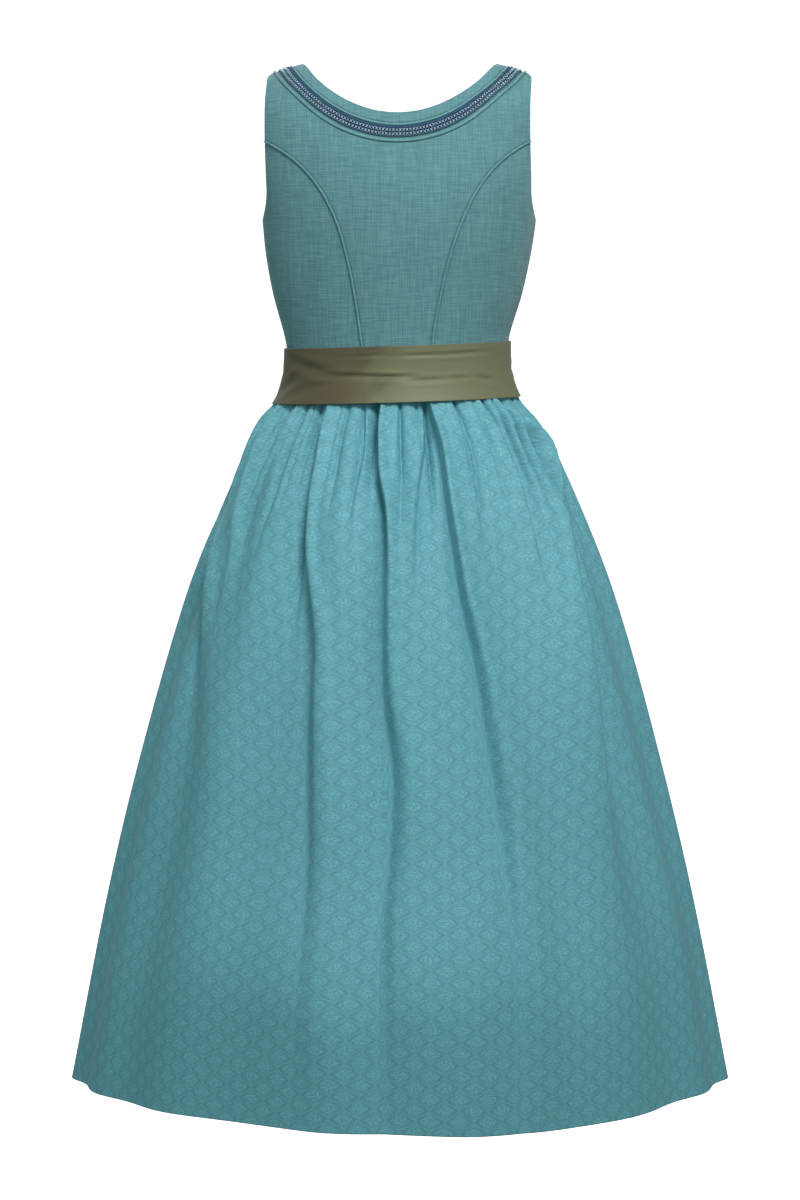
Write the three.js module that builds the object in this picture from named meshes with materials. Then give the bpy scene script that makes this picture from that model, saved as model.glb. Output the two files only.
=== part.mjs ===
// A sleeveless dirndl, filled out as it is worn: a linen bodice with curved panel seams and a
// corded, braided round neck, a satin sash round the waist, and a long gathered skirt.
// Millimetres. +Z is up, -Y is the wearer's back, and the origin is midway between the shoulder seams.
import * as THREE from "three";

// Cloth thicknesses, and the gap left at every seam.
const BODICE_WALL = 2;
const SKIRT_WALL = 1.6;
const SASH_WALL = 1.2;
const SEAM_GAP = 0.3;

// Heights. On the bodice they run along the cloth, so the shoulder roll ends above zero.
const SHOULDER_SEAM = 35;
const UNDERARM = -195;
const WAIST_SEAM = -392;
const HEM = -1266;

const BACK = -1;
const FRONT = 1;

// Horizontal sections of the bodice. along: height along the cloth; height: height above the origin;
// half: half width; back, front: depth from the side seams; square: under 1 is boxier than an ellipse;
// lean: how far the section stands to one side.
const BODICE_SECTIONS = [
  { along: -392, height: -392, half: 136, back: 97, front: 101, square: 1, lean: -3 },
  { along: -355, height: -355, half: 137.2, back: 97.5, front: 101, square: 1, lean: -3 },
  { along: -336, height: -336, half: 139.7, back: 98.6, front: 101.8, square: 1, lean: -3.8 },
  { along: -286, height: -286, half: 154, back: 104, front: 107, square: 0.95, lean: -3 },
  { along: -236, height: -236, half: 164, back: 110, front: 112, square: 0.9, lean: -2 },
  { along: -195, height: -195, half: 169, back: 113, front: 112, square: 0.85, lean: -1 },
  { along: -150, height: -151, half: 172.5, back: 112, front: 108, square: 0.75, lean: -1.5 },
  { along: -95, height: -98, half: 176.5, back: 102, front: 97, square: 0.7, lean: -3 },
  { along: -46, height: -50, half: 179, back: 81, front: 78, square: 0.65, lean: -3 },
  { along: -9, height: -20, half: 182, back: 50, front: 49, square: 0.6, lean: -1.5 },
  { along: 14, height: -5, half: 184, back: 26, front: 26, square: 0.6, lean: -0.5 },
  { along: 35, height: 0, half: 185, back: 0, front: 0, square: 0.6, lean: 0 },
];
const SHOULDER_SLOPE = 0.35;
const SHOULDER_EASE = { from: -80, to: 30 };
const SLOPE_BLEND = 12;

// The bust fills the front over each curved seam.
const BUST = { side: 80, along: -205, fullness: 18, width: 42, height: 48 };

// The neckline of each side is a flattened half oval from shoulder to shoulder.
const NECK_HALF = 119;
const NECK = {
  [BACK]: { drop: 97, curve: 1.2 },
  [FRONT]: { drop: 158, curve: 1.1 },
};

// The armhole runs down from the shoulder tip, and sweeps under the arm to the side seam.
const SHOULDER_TIP = 159;
const TIP_ROUNDING = 30;
const ARMHOLE_BEND = -150;
const ARMHOLE_REACH = { [BACK]: 162.5, [FRONT]: 157 };

// The curved panel seams, as Bezier points from the armhole to the waist.
const PANEL_SEAM = {
  [BACK]: [
    { across: 162.5, along: -96 },
    { across: 80, along: -138 },
    { across: 56, along: -225 },
    { across: 37, along: WAIST_SEAM },
  ],
  [FRONT]: [
    { across: 157, along: -112 },
    { across: 95, along: -145 },
    { across: 92, along: -250 },
    { across: 48, along: WAIST_SEAM },
  ],
};

// Trims that follow the neckline, by their distance from its edge, and the cords on the panel seams.
const NECK_CORD = { name: "neck_cord_inner", from: 14, to: 16.4, rise: 1.5 };
const BRAID = { name: "neck_braid", from: 17, to: 31, rise: 1.4 };
const OUTER_CORD = { name: "neck_cord_outer", from: 33.8, to: 36.8, rise: 1.9 };
const SEAM_CORD = { width: 3, rise: 1.9 };

// Steps round one half of a centre panel, and the neckline angle that each stretch ends at.
const SHOULDER_ANGLE = 90;
const OUTLINE = [
  { stretch: "armhole", steps: 6, neckAngle: 45 },
  { stretch: "panel seam", steps: 12, neckAngle: 9 },
  { stretch: "waist", steps: 2, neckAngle: 0 },
];
const NECK_LINES = [0, 13.8, 31.3, 37];
const BODY_LINES = 5;
const SIDE_SEAM_STEPS = 6;
const UNDERARM_STEPS = 6;
const SIDE_PANEL_COLUMNS = 5;
const TIP_CUT = 0.98;
const CORD_CUT = 0.015;

// The sash: a strip wound once round the waist, its ends lapped at the centre front. It stands a little
// higher on one side.
const SASH_TOP = -348;
const SASH_FOOT = -416;
const SASH_SECTIONS = [
  { height: -344, half: 140.8, back: 102.3, front: 105.6, lean: -3 },
  { height: -366, half: 141.1, back: 102.5, front: 105.8, lean: -3 },
  { height: -385, half: 143.2, back: 104.6, front: 107.8, lean: -2.7 },
  { height: -401, half: 147.6, back: 109, front: 111.8, lean: -2.4 },
  { height: -411, half: 151.8, back: 112.8, front: 115.6, lean: -1.8 },
  { height: -422, half: 158.5, back: 119, front: 121.4, lean: -1.4 },
];
const SASH_TILT = 0.033;
const SASH_LAP = 24;
const SASH_STEPS = 56;
const SASH_LINES = 6;
// Soft troughs pressed along the satin. height: of the trough; deep, wide: its size; beat, shift: how it
// swells and fades round the waist.
const SASH_TROUGHS = [
  { height: -366, deep: 0.5, wide: 5, beat: 5, shift: 40 },
  { height: -391, deep: 0.8, wide: 6, beat: 4, shift: 200 },
];

// Horizontal sections of the skirt. gather: half the height of the gathers' waves;
// ripple: the same for the broad ripples that take over below them; point: above 1 draws the sides out;
// lean: how far the section stands to one side.
const SKIRT_SECTIONS = [
  { height: -392, half: 139, back: 98.6, front: 102, gather: 2.2, ripple: 0, point: 1, lean: -3 },
  { height: -418, half: 149.3, back: 109, front: 111.2, gather: 3.5, ripple: 0.1, point: 1, lean: -1.7 },
  { height: -436, half: 163.2, back: 120.6, front: 119.9, gather: 4.6, ripple: 0.5, point: 1.01, lean: -1 },
  { height: -462, half: 178.5, back: 134.4, front: 131, gather: 5.6, ripple: 1.3, point: 1.03, lean: -0.4 },
  { height: -505, half: 198.6, back: 156.5, front: 149, gather: 5.7, ripple: 2.6, point: 1.06, lean: 0 },
  { height: -570, half: 227, back: 184.5, front: 172.7, gather: 4, ripple: 4.3, point: 1.1, lean: 0 },
  { height: -660, half: 262, back: 217.5, front: 202, gather: 1.9, ripple: 5, point: 1.15, lean: 0 },
  { height: -800, half: 304.5, back: 255.5, front: 237, gather: 0.6, ripple: 5, point: 1.19, lean: 0 },
  { height: -1010, half: 357, back: 303.5, front: 280.5, gather: 0.1, ripple: 5, point: 1.25, lean: 0 },
  { height: -1266, half: 409, back: 350, front: 326, gather: 0, ripple: 4.5, point: 1.32, lean: 0 },
];
const GATHERS = 52;
const POINTS_A_GATHER = 4;
const RIPPLES = 15;

// The folds that fall from the gathers. high, mid, low, hem: degrees round from the centre back at the
// four heights below; deep, wide: size of the valley; from, to: the heights where it starts and fades.
const FOLD_HEIGHTS = { high: -430, mid: -560, low: -800, hem: HEM };
const FOLDS = [
  { high: -66, mid: -65, low: -79, hem: -83, deep: 13, wide: 10, from: -430, to: -900 },
  { high: -53, mid: -52, low: -50, hem: -50, deep: 10, wide: 9, from: -430, to: -640 },
  { high: -30.5, mid: -29, low: -20.8, hem: -20, deep: 11, wide: 10, from: -430, to: -1050 },
  { high: -10.3, mid: -5, low: -3.2, hem: -4.5, deep: 15, wide: 10, from: -420, to: -1180 },
  { high: 15.6, mid: 6.5, low: 4.5, hem: 4, deep: 7, wide: 8, from: -425, to: -740 },
  { high: 15.6, mid: 11.5, low: 11, hem: 11, deep: 7, wide: 20, from: -440, to: -660 },
  { high: 15.6, mid: 16.3, low: 18.6, hem: 21, deep: 12, wide: 11, from: -425, to: -1160 },
  { high: 29, mid: 27, low: 27, hem: 27, deep: 6, wide: 9, from: -425, to: -620 },
  { high: 45, mid: 44, low: 43, hem: 43, deep: 7, wide: 10, from: -425, to: -640 },
  { high: 64, mid: 60, low: 45, hem: 41, deep: 12, wide: 10, from: -430, to: -900 },
  { high: 66, mid: 62, low: 63, hem: 69, deep: 9, wide: 14, from: -600, to: -1180 },
  { high: 104, mid: 106, low: 112, hem: 114, deep: 12, wide: 11, from: -430, to: -1100 },
  { high: 126, mid: 127, low: 130, hem: 131, deep: 9, wide: 9, from: -430, to: -700 },
  { high: 146, mid: 149, low: 152, hem: 150, deep: 13, wide: 11, from: -430, to: -1150 },
  { high: 171, mid: 173, low: 176, hem: 178, deep: 11, wide: 10, from: -430, to: -980 },
  { high: 193, mid: 196, low: 198, hem: 201, deep: 14, wide: 11, from: -430, to: -1180 },
  { high: 216, mid: 218, low: 219, hem: 219, deep: 8, wide: 10, from: -430, to: -680 },
  { high: 237, mid: 238, low: 241, hem: 243, deep: 12, wide: 10, from: -430, to: -1060 },
  { high: 258, mid: 257, low: 260, hem: 263, deep: 10, wide: 12, from: -430, to: -900 },
];
const FOLD_SHOULDER = 0.4;

const LINEN = new THREE.MeshStandardMaterial({ color: 0x5f979c, roughness: 0.85, metalness: 0 });
const JACQUARD = new THREE.MeshStandardMaterial({ color: 0x66a6b3, roughness: 0.75, metalness: 0 });
const BRAIDING = new THREE.MeshStandardMaterial({ color: 0x3f6279, roughness: 0.7, metalness: 0 });
const SATIN = new THREE.MeshStandardMaterial({ color: 0x70745a, roughness: 0.35, metalness: 0 });

const { clamp, degToRad, lerp, smoothstep } = THREE.MathUtils;

// A smooth curve through one column of a table, whose rows are in order of the key column.
function column(rows, key, name) {
  const sorted = [...rows].sort((a, b) => a[key] - b[key]);
  const slopeAt = (k) => {
    const before = sorted[Math.max(k - 1, 0)];
    const after = sorted[Math.min(k + 1, sorted.length - 1)];
    return (after[name] - before[name]) / (after[key] - before[key]);
  };
  return (value) => {
    const found = sorted.findIndex((row) => row[key] > value);
    const k = found < 0 ? sorted.length - 2 : Math.max(found - 1, 0);
    const low = sorted[k];
    const high = sorted[k + 1];
    const span = high[key] - low[key];
    const s = clamp((value - low[key]) / span, 0, 1);
    const rise = s * s * (3 - 2 * s);
    const leave = s * (1 - s) * (1 - s) * span * slopeAt(k);
    const arrive = s * s * (s - 1) * span * slopeAt(k + 1);
    return lerp(low[name], high[name], rise) + leave + arrive;
  };
}

function columns(rows, key) {
  const names = Object.keys(rows[0]).filter((name) => name !== key);
  return Object.fromEntries(names.map((name) => [name, column(rows, key, name)]));
}

const bodice = columns(BODICE_SECTIONS, "along");
const sash = columns(SASH_SECTIONS, "height");
const skirt = columns(SKIRT_SECTIONS, "height");
const bell = (distance) => Math.exp(-distance * distance);
const steps = (count) => Array.from({ length: count + 1 }, (_, k) => k / count);

// A closed wall between two grids of points that match, turned so that its faces point out.
function wall(outer, inner) {
  const rows = outer.length;
  const width = outer[0].length;
  const positions = [outer, inner].flat(2).flatMap((point) => point.toArray());
  const at = (layer, i, j) => (layer * rows + i) * width + j;
  const index = [];
  const quad = (a, b, c, d) => index.push(a, b, c, a, c, d);
  const shorter = (grid, i, j) =>
    grid[i][j].distanceTo(grid[i + 1][j + 1]) <= grid[i + 1][j].distanceTo(grid[i][j + 1]);
  for (let i = 0; i + 1 < rows; i++) {
    for (let j = 0; j + 1 < width; j++) {
      if (shorter(outer, i, j)) {
        quad(at(0, i, j), at(0, i, j + 1), at(0, i + 1, j + 1), at(0, i + 1, j));
        quad(at(1, i, j), at(1, i + 1, j), at(1, i + 1, j + 1), at(1, i, j + 1));
      } else {
        quad(at(0, i, j + 1), at(0, i + 1, j + 1), at(0, i + 1, j), at(0, i, j));
        quad(at(1, i + 1, j), at(1, i + 1, j + 1), at(1, i, j + 1), at(1, i, j));
      }
    }
    quad(at(0, i + 1, 0), at(1, i + 1, 0), at(1, i, 0), at(0, i, 0));
    quad(at(0, i, width - 1), at(1, i, width - 1), at(1, i + 1, width - 1), at(0, i + 1, width - 1));
  }
  for (let j = 0; j + 1 < width; j++) {
    quad(at(0, 0, j), at(1, 0, j), at(1, 0, j + 1), at(0, 0, j + 1));
    quad(at(0, rows - 1, j), at(0, rows - 1, j + 1), at(1, rows - 1, j + 1), at(1, rows - 1, j));
  }
  const geometry = new THREE.BufferGeometry();
  geometry.setAttribute("position", new THREE.Float32BufferAttribute(positions, 3));
  geometry.setIndex(facingOut(positions, index));
  geometry.computeVertexNormals();
  return geometry;
}

function facingOut(positions, index) {
  const corner = (k) => new THREE.Vector3().fromArray(positions, 3 * k);
  let volume = 0;
  for (let k = 0; k < index.length; k += 3) {
    const [a, b, c] = index.slice(k, k + 3).map(corner);
    volume += a.dot(b.cross(c));
  }
  return volume > 0 ? index : index.reverse();
}

function piece(name, geometry, material) {
  const mesh = new THREE.Mesh(geometry, material);
  mesh.name = name;
  return mesh;
}

// ---- Bodice ----

// A point of the bodice's outside. turn: 0 at the centre line, 1 at the side seam; along: height on it.
function bodicePoint(side, turn, along) {
  const angle = (turn * Math.PI) / 2;
  const x = bodice.half(along) * Math.sin(angle);
  const depth = bodice[side === BACK ? "back" : "front"](along);
  const round = Math.pow(Math.max(Math.cos(angle), 0), bodice.square(along));
  const beyondNeck = Math.abs(x) - NECK_HALF;
  const slopeRun = (beyondNeck + Math.hypot(beyondNeck, SLOPE_BLEND)) / 2;
  const ease = smoothstep(along, SHOULDER_EASE.from, SHOULDER_EASE.to);
  const bust =
    bell((Math.abs(x) - BUST.side) / BUST.width) * bell((along - BUST.along) / BUST.height);
  const y = side * (depth * round + (side === FRONT ? BUST.fullness * bust : 0));
  const z = bodice.height(along) - SHOULDER_SLOPE * slopeRun * ease;
  return new THREE.Vector3(x + bodice.lean(along), y, z);
}

const turnOf = (across, along) => {
  const share = clamp(across / bodice.half(along), -1, 1);
  return (Math.asin(share) * 2) / Math.PI;
};

// A point at a distance out from the bodice's cloth. It never passes the side and shoulder seams.
function onBodice(side, turn, along, out = 0) {
  const step = 0.004;
  const reach = 0.5;
  const inTurn = clamp(turn, -1 + step, 1 - step);
  const inAlong = clamp(along, WAIST_SEAM + reach, SHOULDER_SEAM - reach);
  const wide = bodicePoint(side, inTurn + step, inAlong).sub(bodicePoint(side, inTurn - step, inAlong));
  const tall = bodicePoint(side, inTurn, inAlong + reach).sub(bodicePoint(side, inTurn, inAlong - reach));
  const normal = new THREE.Vector3().crossVectors(wide, tall).normalize().multiplyScalar(-side);
  const point = bodicePoint(side, turn, along).addScaledVector(normal, out);
  point.y = side * Math.max(side * point.y, SEAM_GAP / 2);
  return point;
}

const bodiceGrid = (side, grid, out) =>
  grid.map((row) => row.map(({ turn, along }) => onBodice(side, turn, along, out)));

function bodicePanel(name, side, grid) {
  return piece(name, wall(bodiceGrid(side, grid, 0), bodiceGrid(side, grid, -BODICE_WALL)), LINEN);
}

// The neckline, moved away from the neck by a distance. At 90 degrees it ends on the shoulder seam.
function neckPoint(side, degrees, distance = 0) {
  const { drop, curve } = NECK[side];
  const at = (angle) => ({
    across: NECK_HALF * Math.sin(angle),
    along: SHOULDER_SEAM - drop * Math.pow(Math.max(Math.cos(angle), 0), curve),
  });
  const angle = degToRad(degrees);
  const step = 0.002;
  const before = at(Math.max(angle - step, 0));
  const after = at(Math.min(angle + step, Math.PI / 2));
  const run = Math.hypot(after.across - before.across, after.along - before.along);
  const outward = {
    across: (after.along - before.along) / run,
    along: -(after.across - before.across) / run,
  };
  const edge = at(angle);
  const atShoulder = degrees >= SHOULDER_ANGLE;
  return {
    across: edge.across + distance * (atShoulder ? 1 : outward.across),
    along: Math.min(edge.along + (atShoulder ? 0 : distance * outward.along), SHOULDER_SEAM),
  };
}

// The curved panel seam, moved sideways across itself. share: 0 at the armhole, 1 at the waist. Between
// two of its steps it runs straight, so that the pieces on both sides of it keep the same edge. The
// steps are short at the armhole, where the body turns away.
function panelSeam(side, share, aside = 0) {
  const points = PANEL_SEAM[side].map((p) => new THREE.Vector2(p.across, p.along));
  const curve = new THREE.CubicBezierCurve(...points);
  const stepsDown = OUTLINE[1].steps;
  const before = Math.min(Math.floor(share * stepsDown + 1e-6), stepsDown - 1);
  const [start, end] = [before, before + 1].map((k) => {
    const place = Math.pow(k / stepsDown, 1.35);
    const point = curve.getPoint(place);
    const tangent = curve.getTangent(place);
    return { across: point.x - tangent.y * aside, along: point.y + tangent.x * aside };
  });
  const part = share * stepsDown - before;
  return { across: lerp(start.across, end.across, part), along: lerp(start.along, end.along, part) };
}

// The armhole's edge above its bend, at a height along the cloth.
function armholeAcross(side, along) {
  const rounding = smoothstep(along, SHOULDER_SEAM - TIP_ROUNDING, SHOULDER_SEAM);
  return lerp(ARMHOLE_REACH[side], SHOULDER_TIP, rounding * rounding);
}

// The armhole's sweep from the side seam (0) up to the top of the panel seam (1).
function armholeSweep(side, share) {
  const bendShare = 0.6;
  if (share > bendShare) {
    const top = PANEL_SEAM[side][0].along;
    const along = lerp(ARMHOLE_BEND, top, (share - bendShare) / (1 - bendShare));
    return { turn: turnOf(ARMHOLE_REACH[side], along), along };
  }
  const angle = ((share / bendShare) * Math.PI) / 2;
  const bendTurn = turnOf(ARMHOLE_REACH[side], ARMHOLE_BEND);
  return {
    turn: 1 - (1 - bendTurn) * Math.sin(angle),
    along: lerp(ARMHOLE_BEND, UNDERARM, Math.cos(angle)),
  };
}

// One half of a centre panel, from the shoulder round to the centre line: lines that follow the
// neckline first, and then spread to the armhole, the panel seam and the waist.
function centreHalf(side, centreGap) {
  const outline = [];
  let neckAngle = SHOULDER_ANGLE;
  for (const stretch of OUTLINE) {
    for (let k = outline.length ? 1 : 0; k <= stretch.steps; k++) {
      const share = k / stretch.steps;
      outline.push({
        neckAngle: lerp(neckAngle, stretch.neckAngle, share),
        ...outlinePoint(side, stretch.stretch, share),
      });
    }
    neckAngle = stretch.neckAngle;
  }
  return outline.map(({ neckAngle: angle, across, along }) => {
    const lines = NECK_LINES.map((distance) => neckPoint(side, angle, distance));
    const last = lines.at(-1);
    for (const share of steps(BODY_LINES).slice(1)) {
      lines.push({ across: lerp(last.across, across, share), along: lerp(last.along, along, share) });
    }
    return lines.map((p) => {
      const height = clamp(p.along, WAIST_SEAM + SEAM_GAP / 2, SHOULDER_SEAM - SEAM_GAP / 2);
      return { turn: turnOf(Math.max(p.across, centreGap), height), along: height };
    });
  });
}

function outlinePoint(side, stretch, share) {
  const top = panelSeam(side, 0, -SEAM_GAP / 2);
  const foot = panelSeam(side, 1, -SEAM_GAP / 2);
  if (stretch === "armhole") {
    const along = lerp(SHOULDER_SEAM, top.along, share);
    return { across: Math.min(armholeAcross(side, along), lerp(999, top.across, share)), along };
  }
  if (stretch === "panel seam") return panelSeam(side, share, -SEAM_GAP / 2);
  return { across: lerp(foot.across, 0, share), along: WAIST_SEAM };
}

// A side panel, from the panel seam across to the side seam and the armhole.
function sidePanelGrid(side) {
  const count = SIDE_SEAM_STEPS + UNDERARM_STEPS;
  return steps(count).map((share, k) => {
    const upTo = Math.min(share, TIP_CUT);
    const seam = panelSeam(side, 1 - upTo, SEAM_GAP / 2);
    const height = Math.max(seam.along, WAIST_SEAM + SEAM_GAP / 2);
    const inner = { turn: turnOf(seam.across, height), along: height };
    const outer = sidePanelEdge(side, k, upTo * count);
    return steps(SIDE_PANEL_COLUMNS).map((across) => ({
      turn: lerp(inner.turn, outer.turn, across),
      along: lerp(inner.along, outer.along, across),
    }));
  });
}

function sidePanelEdge(side, k, place) {
  if (k <= SIDE_SEAM_STEPS) {
    return { turn: 1, along: lerp(WAIST_SEAM + SEAM_GAP / 2, UNDERARM, k / SIDE_SEAM_STEPS) };
  }
  return armholeSweep(side, (place - SIDE_SEAM_STEPS) / UNDERARM_STEPS);
}

const mirrored = (grid) => grid.map((row) => row.map((p) => ({ ...p, turn: -p.turn })));

// A strip that lies on the bodice: each station gives the points under its width, and the profile says
// how far each of them rises. Its underside stays a seam gap off the cloth.
function strip(name, side, stations, profile, material) {
  const top = stations.map((row) =>
    row.map((p, k) => onBodice(side, p.turn, p.along, SEAM_GAP + profile[k])),
  );
  return piece(name, wall(top, bodiceGrid(side, stations, SEAM_GAP)), material);
}

const CORD_PROFILE = [0.35, 1, 0.35];
const BRAID_PROFILE = [0.8, 1, 0.8];

// A trim along the neckline, between two neckline angles.
function neckTrim(name, side, trim, shares, material, mirror) {
  const half = centreHalfAngles();
  const angles = mirror === 0 ? [...half.map((a) => -a), ...half.slice(0, -1).reverse()] : half;
  const stations = angles.map((degrees) =>
    shares.map((_, k) => {
      const distance = lerp(trim.from, trim.to, k / (shares.length - 1));
      const p = neckPoint(side, Math.abs(degrees), distance);
      const along = Math.min(p.along, SHOULDER_SEAM - SEAM_GAP / 2);
      const across = mirror === 0 ? p.across : Math.max(p.across, SEAM_GAP / 2);
      return { turn: turnOf(across, along) * (mirror || Math.sign(degrees) || 1), along };
    }),
  );
  return strip(name, side, stations, shares.map((share) => share * trim.rise), material);
}

function centreHalfAngles() {
  const angles = [SHOULDER_ANGLE];
  for (const stretch of OUTLINE) {
    const start = angles.at(-1);
    for (const share of steps(stretch.steps).slice(1)) angles.push(lerp(start, stretch.neckAngle, share));
  }
  return angles;
}

// The cord sewn into a panel seam.
function seamCord(name, side, mirror) {
  const stations = steps(OUTLINE[1].steps).map((share) =>
    [-0.5, 0, 0.5].map((aside) => {
      const p = panelSeam(side, Math.max(share, CORD_CUT), aside * SEAM_CORD.width);
      const along = Math.max(p.along, WAIST_SEAM + SEAM_GAP / 2);
      const reach = Math.min(p.across, ARMHOLE_REACH[side]);
      return { turn: mirror * turnOf(reach, along), along };
    }),
  );
  return strip(name, side, stations, CORD_PROFILE.map((share) => share * SEAM_CORD.rise), LINEN);
}

function buildBodice() {
  const group = new THREE.Group();
  const half = centreHalf(BACK, 0);
  const whole = [...mirrored(half), ...half.slice(0, -1).reverse()];
  group.add(bodicePanel("back_centre", BACK, whole));
  const frontHalf = centreHalf(FRONT, SEAM_GAP / 2);
  for (const [word, mirror] of [["left", -1], ["right", 1]]) {
    const facing = (grid) => (mirror < 0 ? mirrored(grid) : grid);
    group.add(bodicePanel(`front_centre_${word}`, FRONT, facing(frontHalf)));
    group.add(bodicePanel(`back_side_${word}`, BACK, facing(sidePanelGrid(BACK))));
    group.add(bodicePanel(`front_side_${word}`, FRONT, facing(sidePanelGrid(FRONT))));
    group.add(seamCord(`back_seam_cord_${word}`, BACK, mirror));
    group.add(seamCord(`front_seam_cord_${word}`, FRONT, mirror));
    group.add(neckTrim(`${NECK_CORD.name}_front_${word}`, FRONT, NECK_CORD, CORD_PROFILE, LINEN, mirror));
    group.add(neckTrim(`${BRAID.name}_front_${word}`, FRONT, BRAID, BRAID_PROFILE, BRAIDING, mirror));
    group.add(neckTrim(`${OUTER_CORD.name}_front_${word}`, FRONT, OUTER_CORD, CORD_PROFILE, LINEN, mirror));
  }
  group.add(neckTrim(`${NECK_CORD.name}_back`, BACK, NECK_CORD, CORD_PROFILE, LINEN, 0));
  group.add(neckTrim(`${BRAID.name}_back`, BACK, BRAID, BRAID_PROFILE, BRAIDING, 0));
  group.add(neckTrim(`${OUTER_CORD.name}_back`, BACK, OUTER_CORD, CORD_PROFILE, LINEN, 0));
  return group;
}

// ---- Sash ----

// A point of an oval section, degrees round from the centre back, moved out from its middle.
function ovalPoint(section, height, degrees, point, out) {
  const angle = degToRad(degrees);
  const half = section.half(height);
  const depth = section[Math.cos(angle) > 0 ? "back" : "front"](height);
  const round = Math.sign(Math.cos(angle)) * Math.pow(Math.abs(Math.cos(angle)), point);
  const place = new THREE.Vector3(half * Math.sin(angle) + section.lean(height), -depth * round, height);
  const away = new THREE.Vector3(Math.sin(angle) / half, -Math.cos(angle) / depth, 0).normalize();
  return place.addScaledVector(away, out);
}

function sashOut(degrees, height) {
  const lapped = smoothstep(degrees, 180 - SASH_LAP, 180);
  const troughs = SASH_TROUGHS.map(({ height: line, deep, wide, beat, shift }) => {
    const swell = 0.5 + 0.5 * Math.cos(degToRad(beat * degrees + shift));
    return deep * swell * bell((height - line) / wide);
  });
  return lapped * (SASH_WALL + 2 * SEAM_GAP) - troughs.reduce((a, b) => a + b, 0);
}

function buildSash() {
  const layer = (inward) =>
    steps(SASH_LINES).map((share) =>
      steps(SASH_STEPS).map((round) => {
        const degrees = lerp(-180, 180 + SASH_LAP, round);
        const rise = SASH_TILT * SASH_SECTIONS[0].half * Math.sin(degToRad(degrees));
        const height = lerp(SASH_TOP, SASH_FOOT, share) + rise;
        return ovalPoint(sash, height, degrees, 1, sashOut(degrees, height) - inward);
      }),
    );
  return piece("sash", wall(layer(0), layer(SASH_WALL)), SATIN);
}

// ---- Skirt ----

// How far round a point of the cloth lies. Gathering crowds the cloth unevenly at the waist.
function skirtDegrees(share, height) {
  const even = share * 360 - 90;
  const crowding = smoothstep(height, -760, -430);
  const uneven = 1.5 * Math.sin(degToRad(3 * even + 30)) + 0.8 * Math.sin(degToRad(8 * even + 75));
  return even + crowding * uneven;
}

function gatherWave(share, height) {
  const angle = share * GATHERS * Math.PI;
  const wave = 2 * Math.abs(Math.sin(angle)) - 1;
  const uneven = 0.8 + 0.2 * Math.sin(share * 2 * Math.PI * 11 + 1);
  const ripple = Math.sin(share * 2 * Math.PI * RIPPLES + 2 * Math.sin(share * 2 * Math.PI * 2));
  return skirt.gather(height) * wave * uneven + skirt.ripple(height) * ripple;
}

// The valley of a fold, with a low rounded ridge on each side.
function foldDepth(fold, degrees, height) {
  const { high, mid, low, hem } = FOLD_HEIGHTS;
  const rows = [
    { height: high, turn: fold.high },
    { height: mid, turn: fold.mid },
    { height: low, turn: fold.low },
    { height: hem, turn: fold.hem },
  ];
  const away = ((degrees - column(rows, "height", "turn")(height) + 540) % 360) - 180;
  const distance = (degToRad(away) * skirt.half(height)) / fold.wide;
  const begin = 1 - smoothstep(height, fold.from - 40, fold.from + 10);
  const fade = smoothstep(height, fold.to, lerp(fold.to, fold.from, 0.6));
  const ridge = FOLD_SHOULDER * bell((Math.abs(distance) - 2.2) / 1.3);
  return fold.deep * begin * fade * (bell(distance) - ridge);
}

function skirtPoint(share, height, inward) {
  const degrees = skirtDegrees(share, height);
  const folds = FOLDS.map((fold) => foldDepth(fold, degrees, height));
  const out = gatherWave(share, height) - folds.reduce((a, b) => a + b, 0);
  return ovalPoint(skirt, height, degrees, skirt.point(height), out - inward);
}

function skirtPanel(name, from, to) {
  const around = (GATHERS * POINTS_A_GATHER) / 2;
  const heights = SKIRT_SECTIONS.map((row) => row.height);
  const layer = (inward) =>
    heights.map((row, k) => {
      const height = row - (k ? 0 : SEAM_GAP / 2);
      const gap = SEAM_GAP / 2 / (4 * skirt.half(height));
      return steps(around).map((share) =>
        skirtPoint(lerp(from + gap, to - gap, share), height, inward),
      );
    });
  return piece(name, wall(layer(0), layer(SKIRT_WALL)), JACQUARD);
}

const dirndl = new THREE.Group();
dirndl.name = "dirndl";
dirndl.add(buildBodice(), buildSash());
dirndl.add(skirtPanel("skirt_back", 0, 0.5), skirtPanel("skirt_front", 0.5, 1));

export default dirndl;
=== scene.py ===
# A sleeveless dirndl: linen bodice with corded seams and a braided round neck, satin sash, and a
# long gathered skirt of tone-on-tone jacquard. It is filled out as it is worn, with no wearer.
import math
from collections import namedtuple

import bmesh
import bpy
import numpy as np
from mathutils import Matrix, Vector


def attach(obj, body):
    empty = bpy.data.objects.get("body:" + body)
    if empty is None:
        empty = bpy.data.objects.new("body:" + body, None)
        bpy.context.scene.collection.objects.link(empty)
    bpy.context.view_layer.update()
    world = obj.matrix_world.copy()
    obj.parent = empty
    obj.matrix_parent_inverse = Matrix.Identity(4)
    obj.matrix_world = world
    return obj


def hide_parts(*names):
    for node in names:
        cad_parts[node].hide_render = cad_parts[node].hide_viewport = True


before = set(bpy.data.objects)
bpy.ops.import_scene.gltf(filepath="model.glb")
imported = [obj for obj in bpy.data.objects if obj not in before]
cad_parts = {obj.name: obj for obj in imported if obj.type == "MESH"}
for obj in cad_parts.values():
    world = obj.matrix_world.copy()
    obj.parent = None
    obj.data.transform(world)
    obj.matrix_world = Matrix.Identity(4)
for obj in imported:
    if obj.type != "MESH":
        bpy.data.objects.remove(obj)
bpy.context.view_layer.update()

# ------------------------------
# Centre panels of the bodice. One piece at the back and two at the front, of a mid-weight linen
# with slubs in both threads. Each is cut with its shoulder strap in one piece, and its neck edge
# is faced and turned. Sizes are millimetres; the wearer's back is towards -Y.
# ------------------------------

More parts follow.
